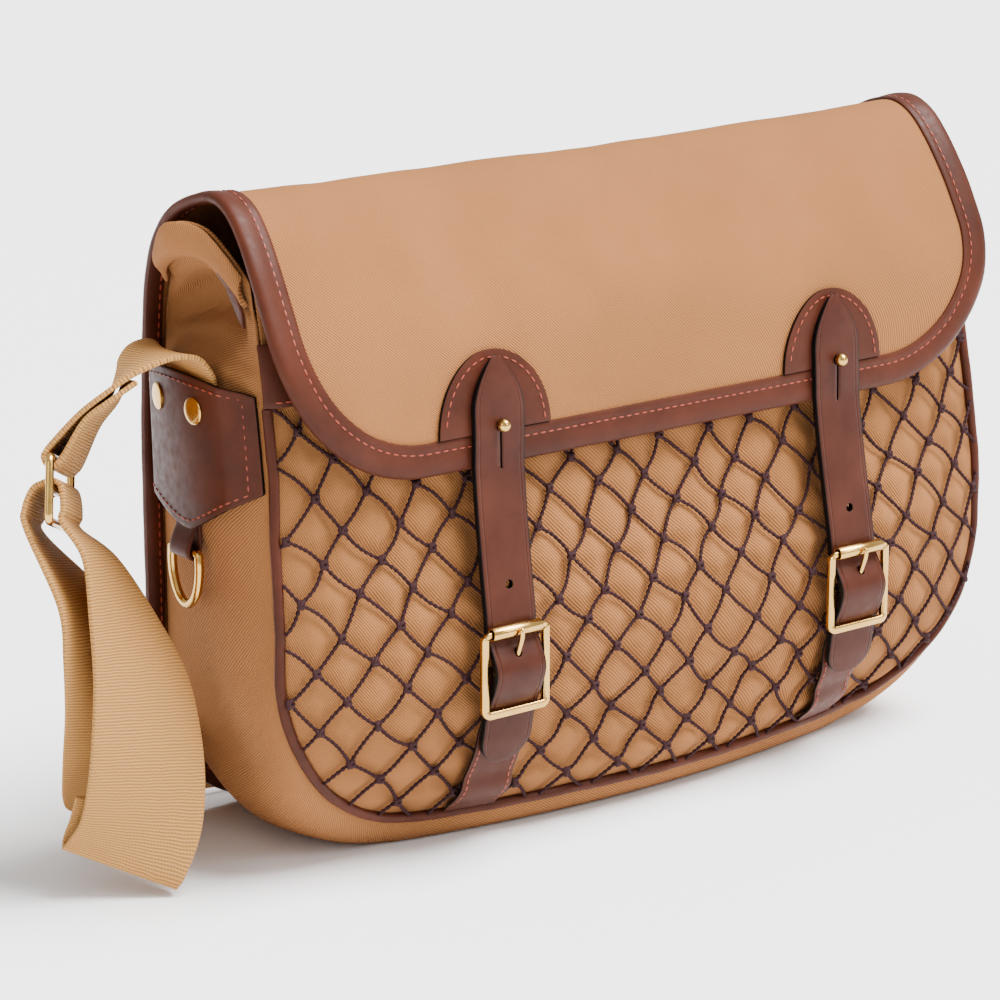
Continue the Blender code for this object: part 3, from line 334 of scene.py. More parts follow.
PANEL_INSET = 1.6 * MM
PANEL_TOP = 246 * MM
CORNER_SHARE = 0.42


def front_panel_place(u, v):
    bend = SEAM_BOTTOM + SEAM_RADIUS
    low = SEAM_BOTTOM + PANEL_INSET
    if v < CORNER_SHARE:
        height = low + (bend - low) * (v / CORNER_SHARE) ** 1.6
    else:
        height = bend + (PANEL_TOP - bend) * (v - CORNER_SHARE) / (1 - CORNER_SHARE)
    x = math.sin((u - 0.5) * math.pi * 0.7) / math.sin(math.pi * 0.35)
    x *= seam_half_width(height, PANEL_INSET)
    return Vector((x, front_face(x, height), height))


front_panel = finished("front_panel_cloth", surface(230, 130, front_panel_place, (380, 232)),
                       TWILL, replaced=["front_panel"])
walled(front_panel, CANVAS)


# Gusset: one long strip of the same twill round the sides and foot. Above the side patches it
# caves in under a rolled hem, which carries the rim up to the turn of the flap.
BACK_HALF_WIDTH = 182.2 * MM
BACK_BOTTOM = 10.5 * MM
BACK_RADIUS = 57 * MM
BACK_Y = 61.5 * MM
PIPING_RADIUS = 2.2 * MM
GUSSET_SWELL = (
    (16, 8.0), (70, 6.5), (125, 6.5), (150, 9.0), (200, 10.0), (212, 7.0), (223, -3.0),
    (234, -17.0), (245, -15.0), (253, -2.0), (261, 5.5), (275, 7.0),
)
BACK_TURN = (
    (140, 0.2), (165, 1.0), (190, 2.2), (212, 4.0), (226, 5.6), (246, 9.9), (256, 13.9),
)
GUSSET_BOTTOM_SWELL = 17 * MM
GUSSET_BACK_Y = BACK_Y - CANVAS - 0.3 * MM
GUSSET_WIDTH_MM, GUSSET_LENGTH_MM = 96, 900


def back_seam_y(height):
    return GUSSET_BACK_Y - look_up(BACK_TURN, max(height, BACK_TURN[0][0] * MM))


def rim_height(depth_share):
    return (249 + 22 * math.sin(math.pi * depth_share * 0.97) ** 0.8 - 3 * depth_share) * MM


def u_outline(share, top, half_width, bottom, radius, narrows):
    """Point and outward direction on a U seen from the front, share running 0 to 1."""
    side = -1 if share < 0.5 else 1
    near = min(share, 1 - share) * 2
    straight, bend = 0.45, 0.8
    shoulder = bottom + radius
    if near <= straight:
        down = near / straight
        height = top + (shoulder - top) * down * (0.55 + 0.45 * down)
        x = half_width - mouth_narrowing(height) * narrows
        return Vector((side * x, 0, height)), Vector((side, 0, 0))
    if near <= bend:
        angle = (near - straight) / (bend - straight) * math.pi / 2
        way = Vector((side * math.cos(angle), 0, -math.sin(angle)))
        centre = Vector((side * (half_width - radius), 0, shoulder))
        return centre + way * radius, way
    flat = half_width - radius
    return Vector((side * flat * (1 - near) / (1 - bend), 0, bottom)), Vector((0, 0, -1))


def gusset_point(share, depth_share, lift=0.0):
    """A point on the gusset's outer face."""
    top = rim_height(depth_share)
    front, front_out = u_outline(share, top, HALF_WIDTH, SEAM_BOTTOM, SEAM_RADIUS, True)
    back, back_out = u_outline(share, top, BACK_HALF_WIDTH, BACK_BOTTOM, BACK_RADIUS, False)
    out = front_out.lerp(back_out, depth_share).normalized()
    point = front.lerp(back, depth_share)
    side_arch = math.sin(math.pi * depth_share) ** 0.7
    foot_arch = math.sin(math.pi * depth_share)
    if depth_share < 0.5:
        foot_arch = math.sqrt(1 - (2 * depth_share - 1) ** 4)
    down = smooth(-out.z)
    below_rim = (271 * MM - rim_height(depth_share)) * smooth((point.z - 205 * MM) / (30 * MM))
    side = look_up(GUSSET_SWELL, max(point.z, SEAM_BOTTOM + SEAM_RADIUS) + below_rim)
    if side < 0:
        side *= smooth(depth_share / 0.4)
    swell = side * side_arch * (1 - down) + GUSSET_BOTTOM_SWELL * foot_arch * down
    flare = smooth((point.z - 234 * MM) / (20 * MM)) * smooth((1 - depth_share) / 0.13)
    swell += 7 * MM * flare * smooth((depth_share - 0.3) / 0.35)
    corner = math.sin(math.pi * smooth(-out.z * 1.2)) * 5 * MM * math.sin(math.pi * depth_share)
    point += out * (swell + lift - corner)
    start = seam_line_y(front.x, front.z) + PIPING_RADIUS * 0.7
    point.y = start + (back_seam_y(back.z) - start) * depth_share
    return point


def gusset_face(share, depth_share, lift=0.0):
    """The gusset with its folds, or a place lifted off it."""
    point = gusset_point(share, depth_share, lift)
    calm = math.sin(math.pi * depth_share)
    point += Vector((math.copysign(1, point.x), 0, 0)) * ripple(point, 0.05, 1.6 * MM, 8.0) * calm
    fold_way = point.z - 205 * MM + (point.y - 10 * MM) * 0.9
    crease = math.exp(-(fold_way / (7 * MM)) ** 2) * smooth((point.z - 175 * MM) / (25 * MM))
    point.x += math.copysign(1.6 * MM, point.x) * crease * calm
    point.z = max(point.z, 0.0)
    return point


def gusset_place(u, v):
    return gusset_face(u, (1 - math.cos(math.pi * (1 - v))) / 2)


gusset = finished("gusset_cloth",
                  surface(300, 44, gusset_place, (GUSSET_LENGTH_MM, GUSSET_WIDTH_MM)),
                  TWILL, replaced=["gusset"])
walled(gusset, CANVAS)

HEM_DEPTH = 0.027
for label, side in (("left", -1), ("right", 1)):
    def hem_place(u, v, side=side):
        depth_share = 0.02 + 0.95 * u
        share = HEM_DEPTH * v
        plump = math.sin(math.pi * (0.04 + 0.92 * v)) ** 0.5
        return gusset_face(share if side < 0 else 1 - share, depth_share, (0.5 + 3 * plump) * MM)
    hem = finished(f"rim_hem_{label}", surface(70, 12, hem_place, (90, 12)), TWILL)
    walled(hem, 2.6 * MM, 0.0, 0.9 * MM)


# Bridle leather: curried cowhide, dyed dark red-brown and waxed. Fine pores, cloudy dye and a
# smooth waxed face that takes a soft shine; the cut edges are stained nearly black.
def leather_material(name, colour, dark, roughness=0.42, grain=0.9):
    made, tree, shader = new_material(name, colour, roughness)
    place = add_node(tree, "TexCoord").outputs["Object"]
    cloud = add_node(tree, "TexNoise", {"Vector": place, "Scale": 28.0, "Detail": 4.0,
                                        "Roughness": 0.65}).outputs[0]
    spread = add_node(tree, "MapRange", {"Value": cloud, "From Min": 0.32, "From Max": 0.68})
    dye = add_node(tree, "Mix", {0: spread.outputs[0], 6: (*srgb(dark), 1), 7: (*srgb(colour), 1)},
                   data_type="RGBA").outputs[2]
    tree.links.new(dye, shader.inputs["Base Color"])
    pores = add_node(tree, "TexVoronoi", {"Vector": place, "Scale": 1000 / grain}).outputs[0]
    creases = add_node(tree, "TexNoise", {"Vector": place, "Scale": 260.0, "Detail": 5.0}).outputs[0]
    skin = add_node(tree, "Math", {0: pores, 1: 0.35, 2: creases}, operation="MULTIPLY_ADD")
    bump = add_node(tree, "Bump", {"Strength": 0.35, "Distance": 0.15 * MM, "Height": skin.outputs[0]})
    tree.links.new(bump.outputs[0], shader.inputs["Normal"])
    gloss = add_node(tree, "MapRange", {"Value": creases, "From Min": 0.3, "From Max": 0.7,
                                        "To Min": roughness - 0.07, "To Max": roughness + 0.12})
    tree.links.new(gloss.outputs[0], shader.inputs["Roughness"])
    shader.inputs["Specular IOR Level"].default_value = 0.11
    return made


LEATHER = leather_material("waxed bridle leather", "4c2417", "381a10")
EDGE_DYE = leather_material("dyed leather edge", "0d0807", "080504", 0.5)


def dye_edges(piece):
    """Stain the cut edges of a leather piece that has its thickness."""
    piece.data.materials.append(EDGE_DYE)
    piece.modifiers["Thickness"].material_offset_rim = 1


# Piping: a cord wrapped in leather and caught in the front seam all round the U
PIPING_TOP = 200 * MM
TUBE_SIDES = 14


def closed_loft(place, around, along, ring=True):
    """A solid swept round a closed section; a ring joins its ends, else they are capped."""
    builder = bmesh.new()
    bmesh.ops.create_grid(builder, x_segments=around, y_segments=along, size=0.5)
    for vertex in builder.verts:
        vertex.co = place((vertex.co.x + 0.5) % 1.0, vertex.co.y + 0.5)
    bmesh.ops.remove_doubles(builder, verts=builder.verts, dist=1e-6)
    if not ring:
        edges = [edge for edge in builder.edges if edge.is_boundary]
        bmesh.ops.holes_fill(builder, edges=edges, sides=0)
    bmesh.ops.recalc_face_normals(builder, faces=builder.faces)
    return builder


def tube(points, radius, ring=False, sides=TUBE_SIDES, taper=None):
    """A round wire or cord along points, its frame carried along without twist."""
    count = len(points)
    headings = []
    for k in range(count):
        before = points[k - 1] if ring or k else points[0]
        after = points[(k + 1) % count] if ring or k < count - 1 else points[-1]
        headings.append((after - before).normalized())
    across = headings[0].orthogonal().normalized()
    frames = []
    for heading in headings:
        across = (across - heading * across.dot(heading)).normalized()
        frames.append((across.copy(), heading.cross(across)))

    def place(u, v):
        k = round(v * count) % count if ring else round(v * (count - 1))
        width = radius * (taper(k / (count - 1)) if taper else 1)
        first, second = frames[k]
        angle = 2 * math.pi * u
        return points[k] + (first * math.cos(angle) + second * math.sin(angle)) * width
    return closed_loft(place, sides, count if ring else count - 1, ring)


piping_points = []
for i in range(361):
    point, out = u_outline(i / 360, PIPING_TOP, HALF_WIDTH, SEAM_BOTTOM, SEAM_RADIUS, True)
    point.y = seam_line_y(point.x, point.z)
    piping_points.append(point + out * ripple(point, 0.022, 0.55 * MM, 1.0))
finished("piping_leather", tube(piping_points, PIPING_RADIUS), LEATHER,
         replaced=["front_piping"])


# Back and flap: one piece of twill, flat up the back, over the mouth and down the front
PROFILE = (
    (61.5, 2.0), (61.5, 60), (61.5, 130), (60.2, 190), (57.3, 226), (53.6, 246),
    (47.2, 260.5), (38.5, 270), (23.5, 277.3), (9.0, 280.3), (-3.0, 276.3), (-13.0, 266.7),
    (-22.0, 254.5), (-30.0, 241), (-36.3, 229), (-41.0, 217), (-43.8, 205), (-45.5, 187),
    (-46.2, 168),
)
PANEL_HALF_WIDTH = 190.4 * MM
FLAP_RADIUS, FOOT_RADIUS = 66 * MM, 65 * MM
RIDGE_PINCH, RIDGE_SPREAD, RIDGE_SAG = 0.012, 40 * MM, 2.2 * MM
FLAP_SWELL = 2.5 * MM


def spline(points, steps):
    """Points along a Catmull-Rom curve through the given vectors."""
    points = [points[0] * 2 - points[1], *points, points[-1] * 2 - points[-2]]
    made = []
    for i in range(1, len(points) - 2):
        before, start, end, after = points[i - 1:i + 3]
        for k in range(steps):
            t = k / steps
            made.append(0.5 * (2 * start + (end - before) * t
                               + (2 * before - 5 * start + 4 * end - after) * t ** 2
                               + (3 * start - before - 3 * end + after) * t ** 3))
    made.append(points[-2].copy())
    return made


class Route:
    """A smooth line that can be read at any length along it."""

    def __init__(self, points, steps=8):
        self.points = spline(points, steps)
        self.lengths = [0.0]
        for first, second in zip(self.points, self.points[1:]):
            self.lengths.append(self.lengths[-1] + (second - first).length)
        self.length = self.lengths[-1]

    def at(self, length):
        """The point at a length, carried straight on beyond either end."""
        last = len(self.lengths) - 1
        i = next((k for k in range(1, last) if length <= self.lengths[k]), last)
        share = (length - self.lengths[i - 1]) / (self.lengths[i] - self.lengths[i - 1])
        return self.points[i - 1].lerp(self.points[i], share)

    def heading(self, length):
        reach = 1.0 * MM
        return (self.at(length + reach) - self.at(length - reach)).normalized()


PANEL = Route([Vector((0, depth, height)) * MM for depth, height in PROFILE])
RIDGE = next(PANEL.lengths[i] for i, p in enumerate(PANEL.points) if p.y < 9.2 * MM)
FRONT_START = RIDGE + 45 * MM

# Dents and soft ridges of the flap: how far across and along from the ridge, reach, depth
FLAP_FOLDS = (
    (-128, 22, 26, 16, -1.6), (-112, 44, 16, 30, 1.5), (-88, 74, 20, 34, -1.4),
    (-30, 30, 34, 20, -1.0), (38, 58, 30, 30, 1.2), (96, 26, 30, 18, -1.3),
    (135, 64, 22, 30, 1.0), (-8, 96, 34, 22, -0.8),
)


def flap_folds(across, along):
    total = 0.0
    for middle, down, reach_x, reach_y, depth in FLAP_FOLDS:
        away = ((across / MM - middle) / reach_x) ** 2 + ((along - RIDGE) / MM - down) ** 2 / reach_y ** 2
        total += depth * MM * math.exp(-away)
    return total


def panel_point(across, along, lift=0.0, folds=True):
    """A point on the back and flap canvas: across its width, along its length, above its face."""
    base = PANEL.at(along)
    heading = PANEL.heading(along)
    normal = Vector((0, heading.z, -heading.y))
    away = (along - RIDGE) / RIDGE_SPREAD
    on_ridge = math.exp(-away ** 2)
    centre = 1 - (across / PANEL_HALF_WIDTH) ** 2
    on_flap = smooth((along - FRONT_START) / (40 * MM))
    lift += FLAP_SWELL * centre * on_flap
    if folds:
        loose = smooth((PANEL_HALF_WIDTH - abs(across)) / (30 * MM))
        loose *= smooth((PANEL.length - along) / (22 * MM))
        rough = ripple(Vector((across, along, 0)), 0.045, 0.8 * MM, 5.0)
        lift += (flap_folds(across, along) + rough) * loose
    point = base + normal * lift
    point.z -= RIDGE_SAG * centre * on_ridge
    point.x = across * (1 - RIDGE_PINCH * on_ridge)
    return point


def panel_half_width(along, inset=0.0):
    """Half width of the panel, narrower in its round corners."""
    foot = corner_half_width(along, PANEL_HALF_WIDTH - inset, inset, FOOT_RADIUS - inset)
    hem_side = corner_half_width(PANEL.length - along, PANEL_HALF_WIDTH - inset, inset,
                                 FLAP_RADIUS - inset)
    return min(foot, hem_side)


PANEL_EDGE = 1.0 * MM


def panel_place(u, v):
    along = PANEL_EDGE + (PANEL.length - 2 * PANEL_EDGE) * v
    return panel_point((1 - u * 2) * panel_half_width(along, PANEL_EDGE), along)


back_and_flap = finished("back_and_flap_cloth", surface(150, 210, panel_place, (381, 439)),
                         TWILL, replaced=["back_and_flap"])
walled(back_and_flap, CANVAS)


# Binding: a strip of leather folded over the panel's raw edge all the way round, turned plump
# at the nose and sewn through with waxed orange-red thread
BINDING_SECTION = (
    # how far in from the edge, how far above the canvas face
    (12.5, 0.1), (12.4, 0.9), (11.6, 1.35), (9.6, 1.3), (8.4, 1.0), (7.2, 1.35), (4.5, 1.75),
    (2.0, 1.9), (0.0, 1.6), (-1.2, 0.8), (-1.7, -0.7), (-1.3, -2.2), (0.0, -3.1), (2.4, -3.2),
    (5.6, -2.9), (6.5, -2.6), (6.5, -1.8), (3.0, -1.8), (-0.2, -1.7), (-0.4, -0.7), (-0.2, 0.1),
    (6.0, 0.1),
)
LINE_STEP = 3.2 * MM


def rounded_outline(half, length, foot_radius, flap_radius, step):
    """Points round the flat panel's edge, each with its way out."""
    loop = []
    foot, flap = half - foot_radius, half - flap_radius

    def line(start, end, way):
        start, end = Vector(start), Vector(end)
        count = max(1, round((end - start).length / step))
        loop.extend((start.lerp(end, k / count), Vector(way)) for k in range(count))

    def arc(x, y, radius, first):
        count = max(6, round(radius * math.pi / 2 / step))
        for k in range(count):
            angle = math.radians(first + 90 * k / count)
            way = Vector((math.cos(angle), math.sin(angle)))
            loop.append((Vector((x, y)) + way * radius, way))

    line((-foot, 0), (foot, 0), (0, -1))
    arc(foot, foot_radius, foot_radius, -90)
    line((half, foot_radius), (half, length - flap_radius), (1, 0))
    arc(flap, length - flap_radius, flap_radius, 0)
    line((flap, length), (-flap, length), (0, 1))
    arc(-flap, length - flap_radius, flap_radius, 90)
    line((-half, length - flap_radius), (-half, foot_radius), (-1, 0))
    arc(-foot, foot_radius, foot_radius, 180)
    return loop


binding_loop = rounded_outline(PANEL_HALF_WIDTH, PANEL.length, FOOT_RADIUS, FLAP_RADIUS, LINE_STEP)


def binding_place(u, v):
    count = len(BINDING_SECTION)
    inward, lift = BINDING_SECTION[round(u * count) % count]
    edge, out = binding_loop[round(v * len(binding_loop)) % len(binding_loop)]
    wave = ripple(Vector((edge.x, edge.y, 0)), 0.03, 0.5 * MM, 2.0)
    flat = edge - out * (inward * MM)
    return panel_point(flat.x, flat.y, lift * MM + wave * 0.5) + Vector((wave * out.x, 0, 0)) * 0.6


finished("binding_leather", closed_loft(binding_place, len(BINDING_SECTION), len(binding_loop)),
         LEATHER, replaced=["binding"])

# Thread: waxed orange-red linen, laid in short even stitches that sink into the leather
STITCH_PITCH, STITCH_LENGTH, THREAD = 4.1 * MM, 3.1 * MM, 0.42 * MM
thread_material, thread_tree, thread_shader = new_material("waxed linen thread", "883018", 0.6)
thread_place = add_node(thread_tree, "TexCoord").outputs["Object"]
thread_ply = add_node(thread_tree, "TexNoise", {"Vector": thread_place, "Scale": 1800.0})
thread_bump = add_node(thread_tree, "Bump", {"Strength": 0.6, "Distance": 0.1 * MM,
                                             "Height": thread_ply.outputs[0]})
thread_tree.links.new(thread_bump.outputs[0], thread_shader.inputs["Normal"])


def sew(builder, points, normals, pitch=STITCH_PITCH):
    """Add stitches along a line of points that lies on a surface with the given normals."""
    lengths = [0.0]
    for first, second in zip(points, points[1:]):
        lengths.append(lengths[-1] + (second - first).length)
    k = 0
    for n in range(int(lengths[-1] / pitch)):
        middle = (n + 0.5) * pitch
        while lengths[k + 1] < middle:
            k += 1
        share = (middle - lengths[k]) / (lengths[k + 1] - lengths[k])
        centre = points[k].lerp(points[k + 1], share)
        along = (points[k + 1] - points[k]).normalized()
        up = (normals[k] - along * normals[k].dot(along)).normalized()
        turn = Matrix((along, up.cross(along), up)).transposed().to_4x4()
        size = Matrix.Diagonal((STITCH_LENGTH / 2, THREAD, THREAD * 0.8, 1))
        bmesh.ops.create_icosphere(builder, subdivisions=1, radius=1.0,
                                   matrix=Matrix.Translation(centre) @ turn @ size)


def sewn_line(builder, place, flats, pitch=STITCH_PITCH):
    """Sew along flat (u, v) points of a surface function, just proud of it."""
    points, normals = [], []
    step = 0.004
    for u, v in flats:
        point = place(u, v)
        across = place(u + step, v) - place(u - step, v)
        along = place(u, v + step) - place(u, v - step)
        points.append(point)
        normals.append(across.cross(along).normalized())
    sew(builder, points, normals, pitch)


def lifted_panel(lift):
    return lambda u, v: panel_point(u, v, lift)


binding_thread = bmesh.new()
for inset, lift in ((8.4, 1.15), (4.4, -3.15)):
    run = [edge - out * (inset * MM) for edge, out in binding_loop]
    run.append(run[0])
    sewn_line(binding_thread, lifted_panel(lift * MM), [(p.x, p.y) for p in run])
finished("binding_thread", binding_thread, thread_material)


# Net pocket: dark maroon two-ply twine, knotted by hand into a diamond mesh and stretched over
# the front. Each strand is laid up from two plies, so that its section turns along its length.
TWINE_WIDE, TWINE_NARROW = 0.95 * MM, 0.62 * MM
TWIST_PITCH = 5.0 * MM
twine_material, twine_tree, twine_shader = new_material("maroon laid twine", "40191f", 0.75)
twine_place = add_node(twine_tree, "TexCoord").outputs["Object"]
fuzz = add_node(twine_tree, "TexNoise", {"Vector": twine_place, "Scale": 1500.0, "Detail": 3.0})
fuzz_tone = add_node(twine_tree, "Mix", {0: fuzz.outputs[0], 6: (*srgb("120708"), 1),
                                         7: (*srgb("3c1a1d"), 1)}, data_type="RGBA")
twine_tree.links.new(fuzz_tone.outputs[2], twine_shader.inputs["Base Color"])
fuzz_bump = add_node(twine_tree, "Bump", {"Strength": 0.7, "Distance": 0.2 * MM,
                                          "Height": fuzz.outputs[0]})
twine_tree.links.new(fuzz_bump.outputs[0], twine_shader.inputs["Normal"])
twine_shader.inputs["Specular IOR Level"].default_value = 0.2


def on_front(flat, lift):
    return Vector((flat.x, front_y(flat.x, flat.y) - lift, flat.y))


net_builder = bmesh.new()
STRAND_SIDES = 6
for path in strand_paths:
    line = [on_front(point, 1.1 * MM) for point in path]
    lengths = [0.0]
    for first, second in zip(line, line[1:]):
        lengths.append(lengths[-1] + (second - first).length)
    made = bmesh.ops.create_grid(net_builder, x_segments=STRAND_SIDES, y_segments=len(line) - 1,
                                 size=0.5)
    for vertex in made["verts"]:
        k = round((vertex.co.y + 0.5) * (len(line) - 1))
        heading = (line[min(k + 1, len(line) - 1)] - line[max(k - 1, 0)]).normalized()
        side_way = heading.cross(Vector((0, 1, 0))).normalized()
        turn = 2 * math.pi * lengths[k] / TWIST_PITCH
        angle = 2 * math.pi * ((vertex.co.x + 0.5) % 1.0)
        wide = TWINE_WIDE * math.cos(angle)
        narrow = TWINE_NARROW * math.sin(angle)
        closing = 0.02 if k in (0, len(line) - 1) else 1.0
        across = (wide * math.cos(turn) - narrow * math.sin(turn)) * closing
        deep = (wide * math.sin(turn) + narrow * math.cos(turn)) * closing
        vertex.co = line[k] + side_way * across + side_way.cross(heading) * deep
bmesh.ops.remove_doubles(net_builder, verts=net_builder.verts, dist=0.03 * MM)
bmesh.ops.recalc_face_normals(net_builder, faces=net_builder.faces)
finished("net_strands", net_builder, twine_material, replaced=["net_pocket"],
         sharp=180)

# Knots: each a pair of tight turns of the same twine
knot_builder = bmesh.new()
KNOT_TURN, KNOT_TWINE = 1.7 * MM, 0.95 * MM
for (i, j), flat in knots.items():
    if not inside_net(flat):
        continue
    centre = on_front(flat, 1.7 * MM)
    for tilt in (pull.uniform(20, 70), pull.uniform(100, 160)):
        made = bmesh.ops.create_grid(knot_builder, x_segments=10, y_segments=5, size=0.5)
        facing = Matrix.Rotation(math.radians(tilt), 3, "Y") @ Matrix.Rotation(
            math.radians(pull.uniform(40, 75)), 3, "X")
        for vertex in made["verts"]:
            way = 2 * math.pi * ((vertex.co.x + 0.5) % 1.0)
            angle = 2 * math.pi * ((vertex.co.y + 0.5) % 1.0)
            reach = KNOT_TURN + KNOT_TWINE * math.cos(angle)
            vertex.co = centre + facing @ Vector((reach * math.cos(way), reach * math.sin(way) * 0.75,
                                                  KNOT_TWINE * math.sin(angle)))
bmesh.ops.remove_doubles(knot_builder, verts=knot_builder.verts, dist=1e-6)
bmesh.ops.recalc_face_normals(knot_builder, faces=knot_builder.faces)
finished("net_knots", knot_builder, twine_material, sharp=180)


# Net band: a strip of leather sewn over the net's gathered top edge
BAND_LOW, BAND_HIGH = 200.5 * MM, 225.5 * MM
STRAP_LEATHER = 1.8 * MM


def band_place(u, v, lift=0.0):
    height = BAND_LOW + (BAND_HIGH - BAND_LOW) * v
    x = (u * 2 - 1) * (seam_half_width(height) + 1.5 * MM)
    swell = 0.5 * MM * math.sin(math.pi * v) ** 0.6
    turn = smooth((abs(u * 2 - 1) - 0.97) / 0.03) * 1.6 * MM
    return Vector((x, front_y(x, height) - 1.2 * MM - swell - lift + turn, height))


walled(finished("net_band_leather", surface(120, 8, band_place, (380, 25)), LEATHER,
                replaced=["net_band"]), STRAP_LEATHER, 1.0, 0.5 * MM)
band_thread = bmesh.new()
for height in (0.1, 0.9):
    sewn_line(band_thread, lambda u, v: band_place(u, v, STRAP_LEATHER + 0.2 * MM),
              [(0.008 + 0.984 * k / 120, height) for k in range(121)])
finished("net_band_thread", band_thread, thread_material)


# Mouth tabs: small leather corners sewn where the gusset's rim meets the front
for label, side in (("left", -1), ("right", 1)):
    def tab_place(u, v, side=side, lift=4.4 * MM):
        share = 0.012 + 0.034 * (1 - v)
        reach = 0.03 + 0.17 * u
        rounded = 1 - (0.25 * smooth((u - 0.7) / 0.3) * abs(2 * v - 1))
        share = 0.029 + (share - 0.029) * rounded
        return gusset_face(share if side < 0 else 1 - share, reach, lift)
    walled(finished(f"mouth_tab_{label}_leather", surface(12, 10, tab_place, (16, 14)), LEATHER,
                    replaced=[f"mouth_tab_{label}"]), 1.4 * MM, -1.0 * side, 0.4 * MM)


# Side patches: stout leather over the sling's sewn ends, pointed below, with two brass rivets
PATCH_TOP, PATCH_TOP_DROP = 209.5 * MM, 5 * MM
PATCH_FRONT_LOW, PATCH_POINT = 169.5 * MM, 145 * MM
PATCH_ROOM, PATCH_LEATHER = 4.8 * MM, 2.0 * MM
PATCH_WIDTH_MM, PATCH_HEIGHT_MM = 84, 60


def patch_x(depth, height, lift=0.0):
    """How far out the side patch stands at a depth: over the gusset, with room for webbing."""
    start = seam_line_y(0, height) + PIPING_RADIUS + 0.3 * MM
    share = (depth - start) / (GUSSET_BACK_Y - start)
    front = seam_half_width(height)
    edge = front + (BACK_HALF_WIDTH - front) * share
    arch = math.sin(math.pi * min(max(share, 0), 1)) ** 0.7
    swell = look_up(GUSSET_SWELL, min(height, 200 * MM)) * arch
    room = PATCH_ROOM * smooth((min(share, 1 - share) - 0.03) / 0.15)
    return edge + swell + 0.6 * MM + room + lift


def patch_low(depth):
    centre = 11 * MM
    reach = 40 * MM if depth < centre else 90 * MM
    away = math.sqrt(((depth - centre) / reach) ** 2 + 0.02)
    return PATCH_POINT - 3 * MM + (PATCH_FRONT_LOW - PATCH_POINT) * away


def patch_surface(side, lift=0.0):
    def place(u, v):
        guess = PATCH_FRONT_LOW + (PATCH_TOP - PATCH_FRONT_LOW) * v
        start = seam_line_y(0, guess) + 3 * MM
        end = back_seam_y(guess) - 4 * MM
        depth = start + (end - start) * (u if side > 0 else 1 - u)
        low = patch_low(depth)
        top = PATCH_TOP - PATCH_TOP_DROP * (2 * u - 1) ** 2
        height = low + (top - low) * v
        return Vector((side * patch_x(depth, height, lift), depth, height))
    return place


BRASS_TINTS = ("dcb469", "b98a41")


def brass_material(name, roughness):
    """Cast and polished brass: warm yellow, bright, with faint rubbing marks."""
    made, tree, shader = new_material(name, BRASS_TINTS[0], roughness, 1.0)
    place = add_node(tree, "TexCoord").outputs["Object"]
    rub = add_node(tree, "TexNoise", {"Vector": place, "Scale": 120.0, "Detail": 4.0}).outputs[0]
    tone = add_node(tree, "Mix", {0: rub, 6: (*srgb(BRASS_TINTS[1]), 1),
                                  7: (*srgb(BRASS_TINTS[0]), 1)}, data_type="RGBA").outputs[2]
    tree.links.new(tone, shader.inputs["Base Color"])
    shine = add_node(tree, "MapRange", {"Value": rub, "From Min": 0.3, "From Max": 0.7,
                                        "To Min": roughness - 0.05, "To Max": roughness + 0.08})
    tree.links.new(shine.outputs[0], shader.inputs["Roughness"])
    return made


BRASS = brass_material("polished cast brass", 0.2)


def lathe(profile, place, steps=32):
    """A turned piece: an outline of radius and height, spun about its own Z."""
    builder = bmesh.new()
    rim = [builder.verts.new((radius, 0.0, height)) for radius, height in profile]
    edges = [builder.edges.new(pair) for pair in zip(rim, rim[1:])]
    bmesh.ops.spin(builder, geom=rim + edges, cent=(0, 0, 0), axis=(0, 0, 1),
                   angle=2 * math.pi, steps=steps, use_merge=True)
    bmesh.ops.remove_doubles(builder, verts=builder.verts, dist=0.002 * MM)
    bmesh.ops.recalc_face_normals(builder, faces=builder.faces)
    bmesh.ops.transform(builder, matrix=place, verts=builder.verts)
    return builder


def facing_out(direction, position):
    """A placement whose Z axis points along a direction."""
    return Matrix.Translation(position) @ direction.to_track_quat("Z", "Y").to_matrix().to_4x4()


